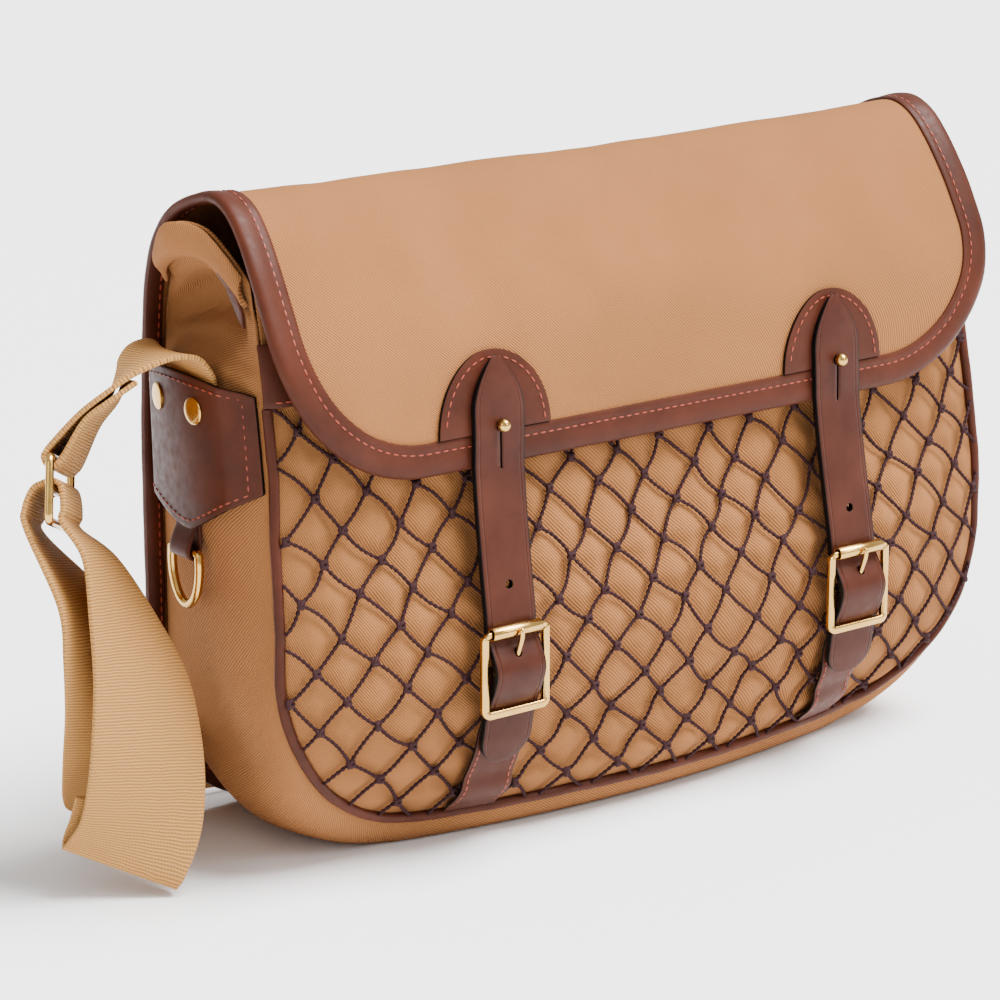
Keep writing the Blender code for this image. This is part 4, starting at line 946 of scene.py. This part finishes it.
PATCH_STITCH_MARGIN = 0.055
RIVET_Z, RIVET_RADIUS = 195.5 * MM, 5.6 * MM
rivet_profile = [(0.0, 1.35 * MM)] + [
    (RIVET_RADIUS * math.sin(math.radians(a)), 0.55 * MM + 0.8 * MM * math.cos(math.radians(a)))
    for a in range(15, 91, 15)] + [(RIVET_RADIUS, 0.0), (0.0, 0.0)]
for label, side in (("left", -1), ("right", 1)):
    patch = finished(f"side_patch_{label}_leather",
                     surface(60, 40, patch_surface(side), (PATCH_WIDTH_MM, PATCH_HEIGHT_MM)),
                     LEATHER, replaced=[f"side_patch_{label}"])
    walled(patch, PATCH_LEATHER, 1.0, 0.5 * MM)
    dye_edges(patch)
    patch_thread = bmesh.new()
    m = PATCH_STITCH_MARGIN
    outline = ([(m + (1 - 2 * m) * k / 30, 1 - m) for k in range(31)]
               + [(1 - m, 1 - m - (1 - 2 * m) * k / 20) for k in range(1, 21)]
               + [(1 - m - (1 - 2 * m) * k / 30, m) for k in range(1, 31)]
               + [(m, m + (1 - 2 * m) * k / 20) for k in range(1, 21)])
    sewn_line(patch_thread, patch_surface(side, PATCH_LEATHER + 0.3 * MM), outline)
    finished(f"side_patch_{label}_thread", patch_thread, thread_material)
    for where, depth in (("front", 5 * MM), ("back", 34 * MM)):
        reach = 2 * MM
        slope = (patch_x(depth + reach, RIVET_Z) - patch_x(depth - reach, RIVET_Z)) / (2 * reach)
        out = Vector((side, -slope, 0)).normalized()
        seat = Vector((side * patch_x(depth, RIVET_Z), depth, RIVET_Z)) + out * PATCH_LEATHER
        finished(f"rivet_{where}_{label}", lathe(rivet_profile, facing_out(out, seat)), BRASS,
                 replaced=[f"patch_rivet_{where}_{label}"])


# Side rings: brass D-rings, each held by a leather tab folded over its straight bar
RING_X, RING_Y, RING_Z = 198.6 * MM, 18.5 * MM, 134 * MM
RING_WIRE, RING_HALF_WIDTH, RING_DROP = 1.9 * MM, 10.2 * MM, 23 * MM
TAB_WIDTH = 14 * MM
for label, side in (("left", -1), ("right", 1)):
    ring_points = [Vector((0, -RING_HALF_WIDTH + 1.4 * MM + (2 * RING_HALF_WIDTH - 2.8 * MM) * k / 8, 0))
                   for k in range(9)]
    ring_points += [Vector((0, RING_HALF_WIDTH - 0.3 * MM, -0.5 * MM))]
    for i in range(25):
        angle = math.pi * i / 24
        ring_points.append(Vector((0, RING_HALF_WIDTH * math.cos(angle),
                                   -RING_DROP * (0.22 + 0.78 * math.sin(angle)))))
    ring_points += [Vector((0, -RING_HALF_WIDTH + 0.3 * MM, -0.5 * MM))]
    middle = Vector((side * RING_X, RING_Y, RING_Z))
    finished(f"ring_{label}", tube([middle + p for p in ring_points], RING_WIRE, ring=True),
             BRASS, body=f"{label}_ring", replaced=[f"side_ring_{label}"], sharp=80)
    tab_route = Route([Vector(p) * MM for p in (
        (-2.9, 0, 20), (-3.0, 0, 10), (-3.1, 0, 3.2), (-2.8, 0, 0), (-2.0, 0, -2.0),
        (0, 0, -2.8), (2.0, 0, -2.0), (2.8, 0, 0), (2.0, 0, 3.4), (-0.4, 0, 9), (-1.3, 0, 13))], 6)

    def ring_tab_place(u, v, side=side, route=tab_route):
        point = route.at(v * route.length)
        return Vector((side * (RING_X + point.x), RING_Y + (u - 0.5) * TAB_WIDTH * side,
                       RING_Z + point.z))
    walled(finished(f"ring_tab_{label}_leather", surface(6, 60, ring_tab_place, (14, 40)),
                    LEATHER, replaced=[f"ring_tab_{label}"]), 1.3 * MM, 0.0,
           0.35 * MM)


# Stud patches: half-round leather on the flap under each strap, sewn round the curve
STRAP_X, STRAP_SPLAY = 91.6 * MM, 5 * MM
STUD_Z = 184 * MM
STUD_PATCH_LEATHER = 1.4 * MM
PATCH_HALF, PATCH_RISE = 28 * MM, 33 * MM
BINDING_COVER = 12.9 * MM
patch_foot = PANEL.length - BINDING_COVER


def stud_patch_surface(side, lift=0.4 * MM, inset=0.0):
    def place(u, v):
        angle = math.radians(88) * v
        across = side * STRAP_X + (PATCH_HALF - inset) * (1 - 2 * u) * math.cos(angle)
        return panel_point(across, patch_foot - (PATCH_RISE - inset) * math.sin(angle), lift)
    return place


def flap_face(x, height, lift):
    """A point above the flap's front face, at a height."""
    along = next(PANEL.lengths[i] for i in range(len(PANEL.points) - 1, 0, -1)
                 if PANEL.points[i].z >= height)
    along += (PANEL.at(along).z - height)
    return panel_point(x, along, lift, folds=False)


stud_profile = [(0.0, (3.0 + 2.8 * 1.85) * MM)]
for degrees in range(75, -36, -10):
    angle = math.radians(degrees)
    stud_profile.append((2.8 * MM * math.cos(angle), (3.0 + 2.38 + 2.8 * math.sin(angle)) * MM))
stud_profile += [(1.5 * MM, 3.0 * MM), (1.5 * MM, 0.0), (0.0, 0.0)]
for label, side in (("left", -1), ("right", 1)):
    patch = finished(f"stud_patch_{label}_leather",
                     surface(28, 20, stud_patch_surface(side), (56, 33)), LEATHER,
                     replaced=[f"stud_patch_{label}"])
    walled(patch, STUD_PATCH_LEATHER, -1.0, 0.4 * MM)
    dye_edges(patch)
    curve_thread = bmesh.new()
    sewn_line(curve_thread, stud_patch_surface(side, 1.9 * MM, 3 * MM),
              [(0.0, 0.02 + 0.93 * k / 24) for k in range(25)]
              + [(1.0, 0.95 - 0.93 * k / 24) for k in range(25)])
    finished(f"stud_patch_{label}_thread", curve_thread, thread_material)
    seat = flap_face(side * STRAP_X, STUD_Z, 2.0 * MM)
    step = 2 * MM
    up = flap_face(side * STRAP_X, STUD_Z + step, 0.0) - flap_face(side * STRAP_X, STUD_Z - step, 0.0)
    out = Vector((0, -up.z, up.y)).normalized()
    finished(f"stud_{label}_brass", lathe(stud_profile, facing_out(out, seat)), BRASS,
             replaced=[f"stud_{label}"])


# Fastening straps: 25 mm bridle leather, pointed above and rounded below, slit for the stud,
# creased along both edges, and passed through the buckle with its end hanging
STRAP_WIDTH, STRAP_THICKNESS = 25 * MM, 2.6 * MM
BUCKLE_Z, BUCKLE_Y = 84 * MM, -66.5 * MM
BUCKLE_HALF_WIDTH, BUCKLE_HALF_HEIGHT = 15.6 * MM, 17.2 * MM
BAR_SET_BACK = 2.0 * MM
SPARE_HOLE_Z, SLIT_LENGTH = 119 * MM, 17 * MM
STRAP_ON_FLAP = (211, 207.5, 203, 197, 190, 182, 174, 166.5)
STRAP_BELOW_FLAP = (
    (-53.4, 152), (-56.0, 136), (-59.0, 119), (-61.4, 106), (-61.8, 101), (-63.6, 96),
    (-66.2, 92), (-68.4, 88), (-69.4, 83.5), (-67.6, 77), (-64.9, 71), (-62.4, 65),
    (-60.4, 54), (-58.9, 48.5), (-57.9, 45.2), (-57.2, 43),
)


def strap_leather_material():
    """The same leather rubbed down, with a creased line and dark dye by each long edge."""
    made = leather_material("creased strap leather", "482419", "371911", 0.38)
    tree = made.node_tree
    shader = tree.nodes["Principled BSDF"]
    flat = add_node(tree, "UVMap", uv_map="flat_mm").outputs["UV"]
    across = add_node(tree, "SeparateXYZ", {0: flat}).outputs["X"]
    from_middle = add_node(tree, "Math", {0: across, 1: 12.5}, operation="SUBTRACT").outputs[0]
    away = add_node(tree, "Math", {0: from_middle}, operation="ABSOLUTE").outputs[0]
    rim = add_node(tree, "MapRange", {"Value": away, "From Min": 11.6, "From Max": 12.3}).outputs[0]
    old = shader.inputs["Base Color"].links[0].from_socket
    dyed = add_node(tree, "Mix", {0: rim, 6: old, 7: (*srgb("0c0706"), 1)}, data_type="RGBA")
    tree.links.new(dyed.outputs[2], shader.inputs["Base Color"])
    off_line = add_node(tree, "Math", {0: away, 1: 10.2}, operation="SUBTRACT").outputs[0]
    near_line = add_node(tree, "Math", {0: off_line}, operation="ABSOLUTE").outputs[0]
    groove = add_node(tree, "MapRange", {"Value": near_line, "From Min": 0.0, "From Max": 0.5,
                                         "To Min": 0.0, "To Max": 1.0}).outputs[0]
    skin = shader.inputs["Normal"].links[0].from_socket
    press = add_node(tree, "Bump", {"Strength": 0.7, "Distance": 0.4 * MM, "Height": groove,
                                    "Normal": skin})
    tree.links.new(press.outputs[0], shader.inputs["Normal"])
    return made


STRAP_LEATHER_FINISH = strap_leather_material()


def strap_shift(height, side):
    """How far out a strap's centre is at a height: the straps splay a little."""
    return side * (STRAP_X + STRAP_SPLAY * max(0.0, STUD_Z - height) / STUD_Z)


def strap_route(side):
    lift = 0.3 * MM + STUD_PATCH_LEATHER + 0.3 * MM + STRAP_THICKNESS / 2
    rows = [flap_face(strap_shift(z * MM, side), z * MM, lift) for z in STRAP_ON_FLAP]
    rows += [Vector((strap_shift(z * MM, side), y * MM, z * MM)) for y, z in STRAP_BELOW_FLAP]
    return Route(rows, 8)


def drilled(piece, cutters):
    """Take cutters out of a piece for good."""
    for cutter in cutters:
        bore = piece.modifiers.new("Bore", "BOOLEAN")
        bore.operation = "DIFFERENCE"
        bore.object = cutter
    bpy.context.view_layer.update()
    solid = piece.evaluated_get(bpy.context.evaluated_depsgraph_get())
    mesh = bpy.data.meshes.new_from_object(solid)
    piece.modifiers.clear()
    piece.data = mesh
    for cutter in cutters:
        bpy.data.objects.remove(cutter)
    return piece


def loose_solid(name, builder):
    mesh = bpy.data.meshes.new(name)
    builder.to_mesh(mesh)
    builder.free()
    made = bpy.data.objects.new(name, mesh)
    bpy.context.scene.collection.objects.link(made)
    return made


def prong_points(side):
    """From round the centre bar, out through the strap's hole, to rest on the roller."""
    bar = Vector((strap_shift(BUCKLE_Z, side), BUCKLE_Y + BAR_SET_BACK, BUCKLE_Z))
    points = []
    for degrees in (-50, -95, -140, -185, -230, -265):
        angle = math.radians(degrees)
        points.append(bar + Vector((0, -math.cos(angle), math.sin(angle))) * 2.8 * MM)
    for depth, height in ((-66.6, 89.0), (-68.4, 93.0), (-70.7, 99.2), (-70.6, 102.8)):
        points.append(Vector((bar.x, depth * MM, height * MM)))
    return points


for label, side in (("left", -1), ("right", 1)):
    route = strap_route(side)

    def strap_place(u, v, route=route):
        from_top, from_end = v * route.length, (1 - v) * route.length
        half = STRAP_WIDTH / 2
        taper = min((from_top + 0.5 * MM) / (23 * MM), 1.0)
        point_width = math.sin(math.pi / 2 * taper) ** 0.8
        round_width = math.sqrt(1 - (1 - min((from_end + 0.4 * MM) / half, 1.0)) ** 2)
        point = route.at(from_top).copy()
        crown = 0.35 * MM * (1 - (2 * u - 1) ** 2)
        point.x += (u * 2 - 1) * half * min(point_width, round_width)
        point.y -= crown
        return point
    strap = finished(f"strap_{label}", surface(12, 150, strap_place, (25, route.length / MM)),
                     STRAP_LEATHER_FINISH, replaced=[f"front_strap_{label}"])
    walled(strap, STRAP_THICKNESS, 0.0)
    dye_edges(strap)
    rounding = strap.modifiers.new("Edge", "BEVEL")
    rounding.width = 0.45 * MM
    rounding.segments = 2
    rounding.limit_method = "ANGLE"
    rounding.angle_limit = math.radians(55)
    seat = flap_face(side * STRAP_X, STUD_Z, 0.0)
    reach = Vector((0, 9 * MM, 0))
    spare = Vector((strap_shift(SPARE_HOLE_Z, side), -59 * MM, SPARE_HOLE_Z))
    slit = bmesh.new()
    bmesh.ops.create_cube(slit, size=1.0)
    bmesh.ops.scale(slit, vec=(0.9 * MM, 16 * MM, SLIT_LENGTH), verts=slit.verts)
    bmesh.ops.translate(slit, vec=seat - Vector((0, 0, SLIT_LENGTH / 2 + MM)), verts=slit.verts)
    drilled(strap, [
        loose_solid("stud_bore", tube([seat - reach, seat + reach], 2.2 * MM, sides=20)),
        loose_solid("spare_bore", tube([spare - reach, spare + reach], 1.9 * MM, sides=20)),
        loose_solid("prong_bore", tube(prong_points(side)[5:9], 1.8 * MM, sides=16)),
        loose_solid("slit_bore", slit)])


# Chapes: thin leather sewn in at the front seam, up to the buckle's centre bar and back down
CHAPE_WIDTH, CHAPE_THICKNESS = 23 * MM, 1.2 * MM
CHAPE_FRONT = ((-59.7, 63), (-61.8, 70), (-65.4, 77))
CHAPE_BEHIND = ((-62.0, 77), (-60.4, 70), (-59.2, 66))
CHAPE_OFF_NET = 4.2 * MM
CHAPE_FOOT = (16.0, 19, 23, 28, 34, 40, 46, 55)
for label, side in (("left", -1), ("right", 1)):
    rows = []
    for z in CHAPE_FOOT:
        seated = smooth((z - 15) / 12) * CHAPE_OFF_NET + 1.0 * MM
        x = strap_shift(z * MM, side)
        rows.append(Vector((z, front_y(x, z * MM) - seated, z * MM)))
    rows += [Vector((0, y * MM, z * MM)) for y, z in CHAPE_FRONT]
    bar_y = BUCKLE_Y + BAR_SET_BACK
    for degrees in range(0, 181, 20):
        angle = math.radians(degrees)
        rows.append(Vector((0, bar_y - 2.4 * MM * math.cos(angle), BUCKLE_Z + 2.4 * MM * math.sin(angle))))
    rows += [Vector((0, y * MM, z * MM)) for y, z in CHAPE_BEHIND]
    chape_route = Route([Vector((0, row.y, row.z)) for row in rows], 4)

    def chape_place(u, v, side=side, route=chape_route, lift=0.0):
        point = route.at(v * route.length)
        x = strap_shift(point.z, side) + (u - 0.5) * CHAPE_WIDTH
        lean = 0.0
        if v < 0.45:
            middle = strap_shift(point.z, side)
            lean = (front_y(x, point.z) - front_y(middle, point.z)) * smooth((0.45 - v) / 0.15)
        return Vector((x, point.y + lean - lift, point.z))
    chape = finished(f"chape_{label}_leather",
                     surface(8, 90, chape_place, (23, chape_route.length / MM)), LEATHER,
                     replaced=[f"chape_{label}"])
    walled(chape, CHAPE_THICKNESS, 0.0, 0.3 * MM)
    dye_edges(chape)
    slot_builder = bmesh.new()
    bmesh.ops.create_cube(slot_builder, size=1.0)
    bmesh.ops.scale(slot_builder, vec=(3.4 * MM, 14 * MM, 14 * MM), verts=slot_builder.verts)
    bmesh.ops.translate(slot_builder, vec=(strap_shift(BUCKLE_Z, side), bar_y, BUCKLE_Z),
                        verts=slot_builder.verts)
    drilled(chape, [loose_solid("prong_slot", slot_builder)])
    chape_thread = bmesh.new()
    for edge in (0.09, 0.91):
        sewn_line(chape_thread, lambda u, v, p=chape_place: p(u, v, lift=0.65 * MM),
                  [(edge, 0.03 + 0.37 * k / 30) for k in range(31)], 3.3 * MM)
    finished(f"chape_{label}_thread", chape_thread, thread_material)


# Buckles: cast brass whole buckles, a bevelled frame with a bar across its middle, a roller on
# the top bar, and a prong that rests on it
FRAME_HALF, FRAME_DEEP = 1.75 * MM, 1.45 * MM


def rounded_rectangle(half_width, half_height, radius, steps=8):
    """Corner arcs of a rectangle in X and Z, with their outward directions."""
    loop = []
    for turn, (sign_x, sign_z) in enumerate(((1, 1), (-1, 1), (-1, -1), (1, -1))):
        centre = Vector((sign_x * (half_width - radius), 0, sign_z * (half_height - radius)))
        for k in range(steps + 1):
            angle = math.radians(90 * (turn + k / steps))
            way = Vector((math.cos(angle), 0, math.sin(angle)))
            loop.append((centre + way * radius, way))
    return loop


frame_section = [(math.copysign(abs(math.cos(a)) ** 0.55, math.cos(a)),
                  math.copysign(abs(math.sin(a)) ** 0.55, math.sin(a)))
                 for a in (2 * math.pi * k / 16 for k in range(16))]
frame_loop = rounded_rectangle(BUCKLE_HALF_WIDTH, BUCKLE_HALF_HEIGHT, 2.4 * MM)
for label, side in (("left", -1), ("right", 1)):
    centre = Vector((strap_shift(BUCKLE_Z, side), BUCKLE_Y, BUCKLE_Z))

    def buckle_place(u, v, centre=centre):
        wide, deep = frame_section[round(u * 16) % 16]
        point, way = frame_loop[round(v * len(frame_loop)) % len(frame_loop)]
        height = point.z / BUCKLE_HALF_HEIGHT
        dip = BAR_SET_BACK * (1 - min(abs(height), 1.0) ** 2)
        slim = 0.72 if abs(height) > 0.93 and height > 0 else 1.0
        return (centre + point + way * (wide * FRAME_HALF * slim)
                + Vector((0, dip + deep * FRAME_DEEP * slim, 0)))
    frame_builder = closed_loft(buckle_place, 16, len(frame_loop))
    bar_half = BUCKLE_HALF_WIDTH
    bar_middle = centre + Vector((0, BAR_SET_BACK, 0))
    bar_line = [bar_middle + Vector((bar_half * (k / 4 - 1), 0, 0)) for k in range(9)]
    finished(f"buckle_{label}_frame", frame_builder, BRASS, replaced=[f"buckle_{label}"])
    finished(f"buckle_{label}_bar", tube(bar_line, 1.4 * MM), BRASS)
    roller_profile = ((2.1, -12.4), (2.45, -12.5), (2.7, -12.2), (2.75, 0), (2.7, 12.2),
                      (2.45, 12.5), (2.1, 12.4), (2.1, -12.4))
    roller = lathe([(r * MM, h * MM) for r, h in roller_profile],
                   facing_out(Vector((1, 0, 0)), centre + Vector((0, 0, BUCKLE_HALF_HEIGHT))))
    finished(f"roller_{label}", roller, BRASS, replaced=[f"buckle_roller_{label}"])
    prong_line = spline(prong_points(side), 6)
    prong = tube(prong_line, 1.3 * MM, taper=lambda t: 1.0 - 0.25 * t ** 3 if t < 0.99 else 0.4)
    finished(f"prong_{label}", prong, BRASS, replaced=[f"buckle_prong_{label}"], sharp=60)


# Sling: 50 mm ribbed cotton webbing. A short length runs from the left patch to a brass slide,
# and the long one comes from the right patch, behind the bag, round its left foot and up again.
WEB_WIDTH, WEB_THICKNESS = 50 * MM, 2.2 * MM
SLIDER_CENTRE = Vector((-248.5, 32, 163)) * MM
SLIDER_ALONG = Vector((0.591, 0.730, -0.342)).normalized()
SLIDER_DOWN = Vector((-0.215, -0.266, -0.940))
SLIDER_HALF_LENGTH, SLIDER_HALF_HEIGHT, SLIDER_WIRE = 29 * MM, 12.7 * MM, 1.75 * MM
SLIDER_OUT = SLIDER_ALONG.cross(SLIDER_DOWN).normalized()

# Webbing rows: centre x, y, z; width direction x, y, z; how far the middle bows out
ANCHOR_ROUTE = [
    (-194.2, 21, 184, 0.10, 0.995, 0, -3.2), (-194.2, 21, 206.5, 0.10, 0.995, 0, -3.2),
    (-196, 21.5, 213.5, 0.12, 0.99, 0, -2.8), (-201.5, 21.5, 217.5, 0.12, 0.99, -0.06, -1.5),
    (-209.5, 22, 217.5, 0.16, 0.98, -0.12, -0.5), (-216.5, 22.5, 214.5, 0.26, 0.96, -0.18, 0),
    (-222.5, 23.5, 209.5, 0.42, 0.88, -0.22, 0), (-229.5, 25.5, 202, 0.55, 0.80, -0.25, 0),
    (-236.5, 30.5, 193, 0.58, 0.76, -0.30, 0),
]
ANCHOR_RETURN = [
    (-235.0, 28.4, 190.8, 0.58, 0.76, -0.30, 0), (-227.7, 23.4, 199.8, 0.55, 0.80, -0.25, 0),
    (-220.3, 21.8, 207.3, 0.42, 0.88, -0.22, 0),
]
SLING_ROUTE = [
    (194.2, 21, 184, 0.10, -0.995, 0, -3.2), (194.2, 21, 206.5, 0.10, -0.995, 0, -3.2),
    (196, 21.5, 213.5, 0.12, -0.99, 0, -2.8), (202, 23, 217.5, 0.10, -0.99, 0, -1.5),
    (211, 26, 217.5, 0.0, -1, 0.05, -0.5), (218, 32, 210, -0.05, -1, 0.15, 0),
    (222, 43, 190, -0.1, -0.95, 0.3, 0), (221, 61, 150, -0.1, -0.75, 0.6, 0),
    (208, 80, 105, -0.1, -0.4, 0.9, 0), (180, 87, 62, -0.1, -0.15, 1, 0),
    (135, 82, 35, 0, 0, 1, 0), (75, 75, 27, 0, 0, 1, 0), (0, 72, 26, 0, 0, 1, 0),
    (-75, 73, 26, 0, 0, 1, 0), (-135, 77, 27, 0, 0, 1, 0), (-175, 78, 30, 0.05, 0, 1, 0),
    (-201, 67, 33, 0.3, -0.15, 0.9, 0), (-213, 49, 33, 0.62, -0.33, 0.65, 0),
    (-226, 28, 35, 0.84, -0.4, 0.2, 0), (-235, 12, 52, 0.93, -0.3, -0.1, 0),
    (-239, 7, 76, 0.98, -0.03, -0.17, 0), (-243, 10, 98, 0.93, 0.3, -0.2, 0),
    (-247, 17, 120, 0.8, 0.53, -0.24, 0),
]
SLING_FRONT = [
    (-240, 17, 138, 0.69, 0.67, -0.28, 0), (-237, 6, 116, 0.86, 0.46, -0.22, 0),
    (-234, -2, 92, 0.97, 0.17, -0.2, 0), (-235, -7, 68, 0.99, -0.05, -0.16, 0),
    (-237, -9, 48, 0.96, -0.22, -0.14, 0), (-240, -8.5, 31, 0.92, -0.35, -0.2, 0),
    (-245, -5.5, 18, 0.82, -0.45, -0.36, 0), (-246.6, -3.5, 14.4, 0.80, -0.45, -0.40, 0),
    (-245.5, -0.8, 13.4, 0.80, -0.45, -0.40, 0), (-243.8, 0.9, 16.5, 0.80, -0.45, -0.40, 0),
    (-240.5, -0.5, 27, 0.88, -0.38, -0.3, 0), (-237.8, -1.6, 40, 0.93, -0.28, -0.2, 0),
]


def webbing_material():
    """Cotton webbing: weft ribs across the width, broken into beads by the warp, and fuzzy yarn all over.
    """
    made, tree, shader = new_material("ribbed cotton webbing", "d8b48d", 0.85)
    flat = add_node(tree, "UVMap", uv_map="flat_mm").outputs["UV"]
    wobble = add_node(tree, "TexNoise", {"Vector": flat, "Scale": 0.12, "Detail": 2.0}).outputs[0]
    axes = add_node(tree, "SeparateXYZ", {0: flat})
    along = add_node(tree, "Math", {0: wobble, 1: 1.2, 2: axes.outputs["Y"]},
                     operation="MULTIPLY_ADD").outputs[0]
    rib_turns = add_node(tree, "Math", {0: along, 1: 2 * math.pi / 1.3}, operation="MULTIPLY").outputs[0]
    rib = add_node(tree, "Math", {0: rib_turns}, operation="SINE").outputs[0]
    half_turns = add_node(tree, "Math", {0: along, 1: math.pi / 1.3}, operation="MULTIPLY").outputs[0]
    row = add_node(tree, "Math", {0: half_turns}, operation="SINE").outputs[0]
    row_sign = add_node(tree, "Math", {0: row}, operation="SIGN").outputs[0]
    warp_turns = add_node(tree, "Math", {0: axes.outputs["X"], 1: 2 * math.pi / 1.35},
                          operation="MULTIPLY").outputs[0]
    shift = add_node(tree, "Math", {0: row_sign, 1: math.pi / 2, 2: warp_turns},
                     operation="MULTIPLY_ADD").outputs[0]
    warp = add_node(tree, "Math", {0: shift}, operation="SINE").outputs[0]
    fuzzy = add_node(tree, "TexNoise", {"Vector": flat, "Scale": 2.2, "Detail": 4.0,
                                        "Roughness": 0.7}).outputs[0]
    beads = add_node(tree, "Math", {0: warp, 1: 0.35, 2: rib}, operation="MULTIPLY_ADD").outputs[0]
    height = add_node(tree, "Math", {0: fuzzy, 1: 1.2, 2: beads}, operation="MULTIPLY_ADD").outputs[0]
    tone = add_node(tree, "MapRange", {"Value": height, "From Min": -0.8, "From Max": 1.6}).outputs[0]
    colour = add_node(tree, "Mix", {0: tone, 6: (*srgb("835b2e"), 1), 7: (*srgb("bd8a4e"), 1)},
                      data_type="RGBA").outputs[2]
    tree.links.new(colour, shader.inputs["Base Color"])
    bump = add_node(tree, "Bump", {"Strength": 0.4, "Distance": 0.3 * MM, "Height": height})
    tree.links.new(bump.outputs[0], shader.inputs["Normal"])
    shader.inputs["Specular IOR Level"].default_value = 0.15
    return made


WEBBING = webbing_material()


def by_slider(out, down):
    """A centre-line row by the slider: how far out from its plane, and down it."""
    place = SLIDER_CENTRE / MM + SLIDER_OUT * out + SLIDER_DOWN * down
    return (*place, *SLIDER_ALONG, 0.0)


def web_piece(name, rows, node, steps=12):
    """Webbing laid along rows of centre, width direction and how far its middle bows out."""
    centres = spline([Vector(row[:3]) * MM for row in rows], steps)
    widths = spline([Vector(row[3:6]).normalized() for row in rows], steps)
    bows = spline([Vector((row[6] * MM, 0, 0)) for row in rows], steps)
    last = len(centres) - 1
    lengths = [0.0]
    for first, second in zip(centres, centres[1:]):
        lengths.append(lengths[-1] + (second - first).length)

    def place(u, v):
        k = round(v * last)
        across = u - 0.5
        width = widths[k].normalized()
        heading = centres[min(k + 1, last)] - centres[max(k - 1, 0)]
        normal = width.cross(heading).normalized()
        bow = bows[k].x * (1 - (2 * across) ** 2)
        return centres[k] + width * across * WEB_WIDTH + normal * bow
    builder = surface(14, last, place, (50, last))
    layer = builder.loops.layers.uv.active
    for face in builder.faces:
        for loop in face.loops:
            uv = loop[layer].uv
            loop[layer].uv = (uv.x, lengths[min(round(uv.y), last)] / MM)
    piece = finished(name, builder, WEBBING, replaced=[node])
    return walled(piece, WEB_THICKNESS, 0.0, 0.6 * MM)


slider_top = -SLIDER_HALF_HEIGHT / MM
turn_reach = (SLIDER_WIRE + WEB_THICKNESS / 2) / MM + 0.4
round_top = [by_slider(turn_reach * math.cos(angle) + out, slider_top + turn_reach * math.sin(angle) + down)
             for angle, out, down in (
                 (math.radians(-36), -2.9, -4.0), (math.radians(-36), 0, 0),
                 (math.radians(0), 0, 0), (math.radians(54), 0, 0),
                 (math.radians(108), 0, 0), (math.radians(144), 0, 0),
                 (math.radians(144), -2.5, -3.5))]
web_piece("sling_anchor", ANCHOR_ROUTE + round_top + ANCHOR_RETURN, "strap_anchor")
over_bar = [by_slider(out, down) for out, down in (
    (9.5, 16), (10.5, 8), (7.5, 0), (3.4, -2.6), (0, -3.6), (-3.0, -2.4), (-4.4, 2), (-4.8, 8),
    (-4.6, 13))]
web_piece("sling_webbing", SLING_ROUTE + over_bar + SLING_FRONT, "shoulder_strap")

slider_loop = [SLIDER_CENTRE + SLIDER_ALONG * point.x + SLIDER_DOWN * point.z
               for point, way in rounded_rectangle(SLIDER_HALF_LENGTH, SLIDER_HALF_HEIGHT, 3 * MM)]
finished("slider_frame", tube(slider_loop, SLIDER_WIRE, ring=True), BRASS,
         replaced=["slider"], sharp=80)
slider_bar = [SLIDER_CENTRE + SLIDER_ALONG * (SLIDER_HALF_LENGTH * (k / 4 - 1)) for k in range(9)]
finished("slider_middle_bar", tube(slider_bar, SLIDER_WIRE * 0.94), BRASS)
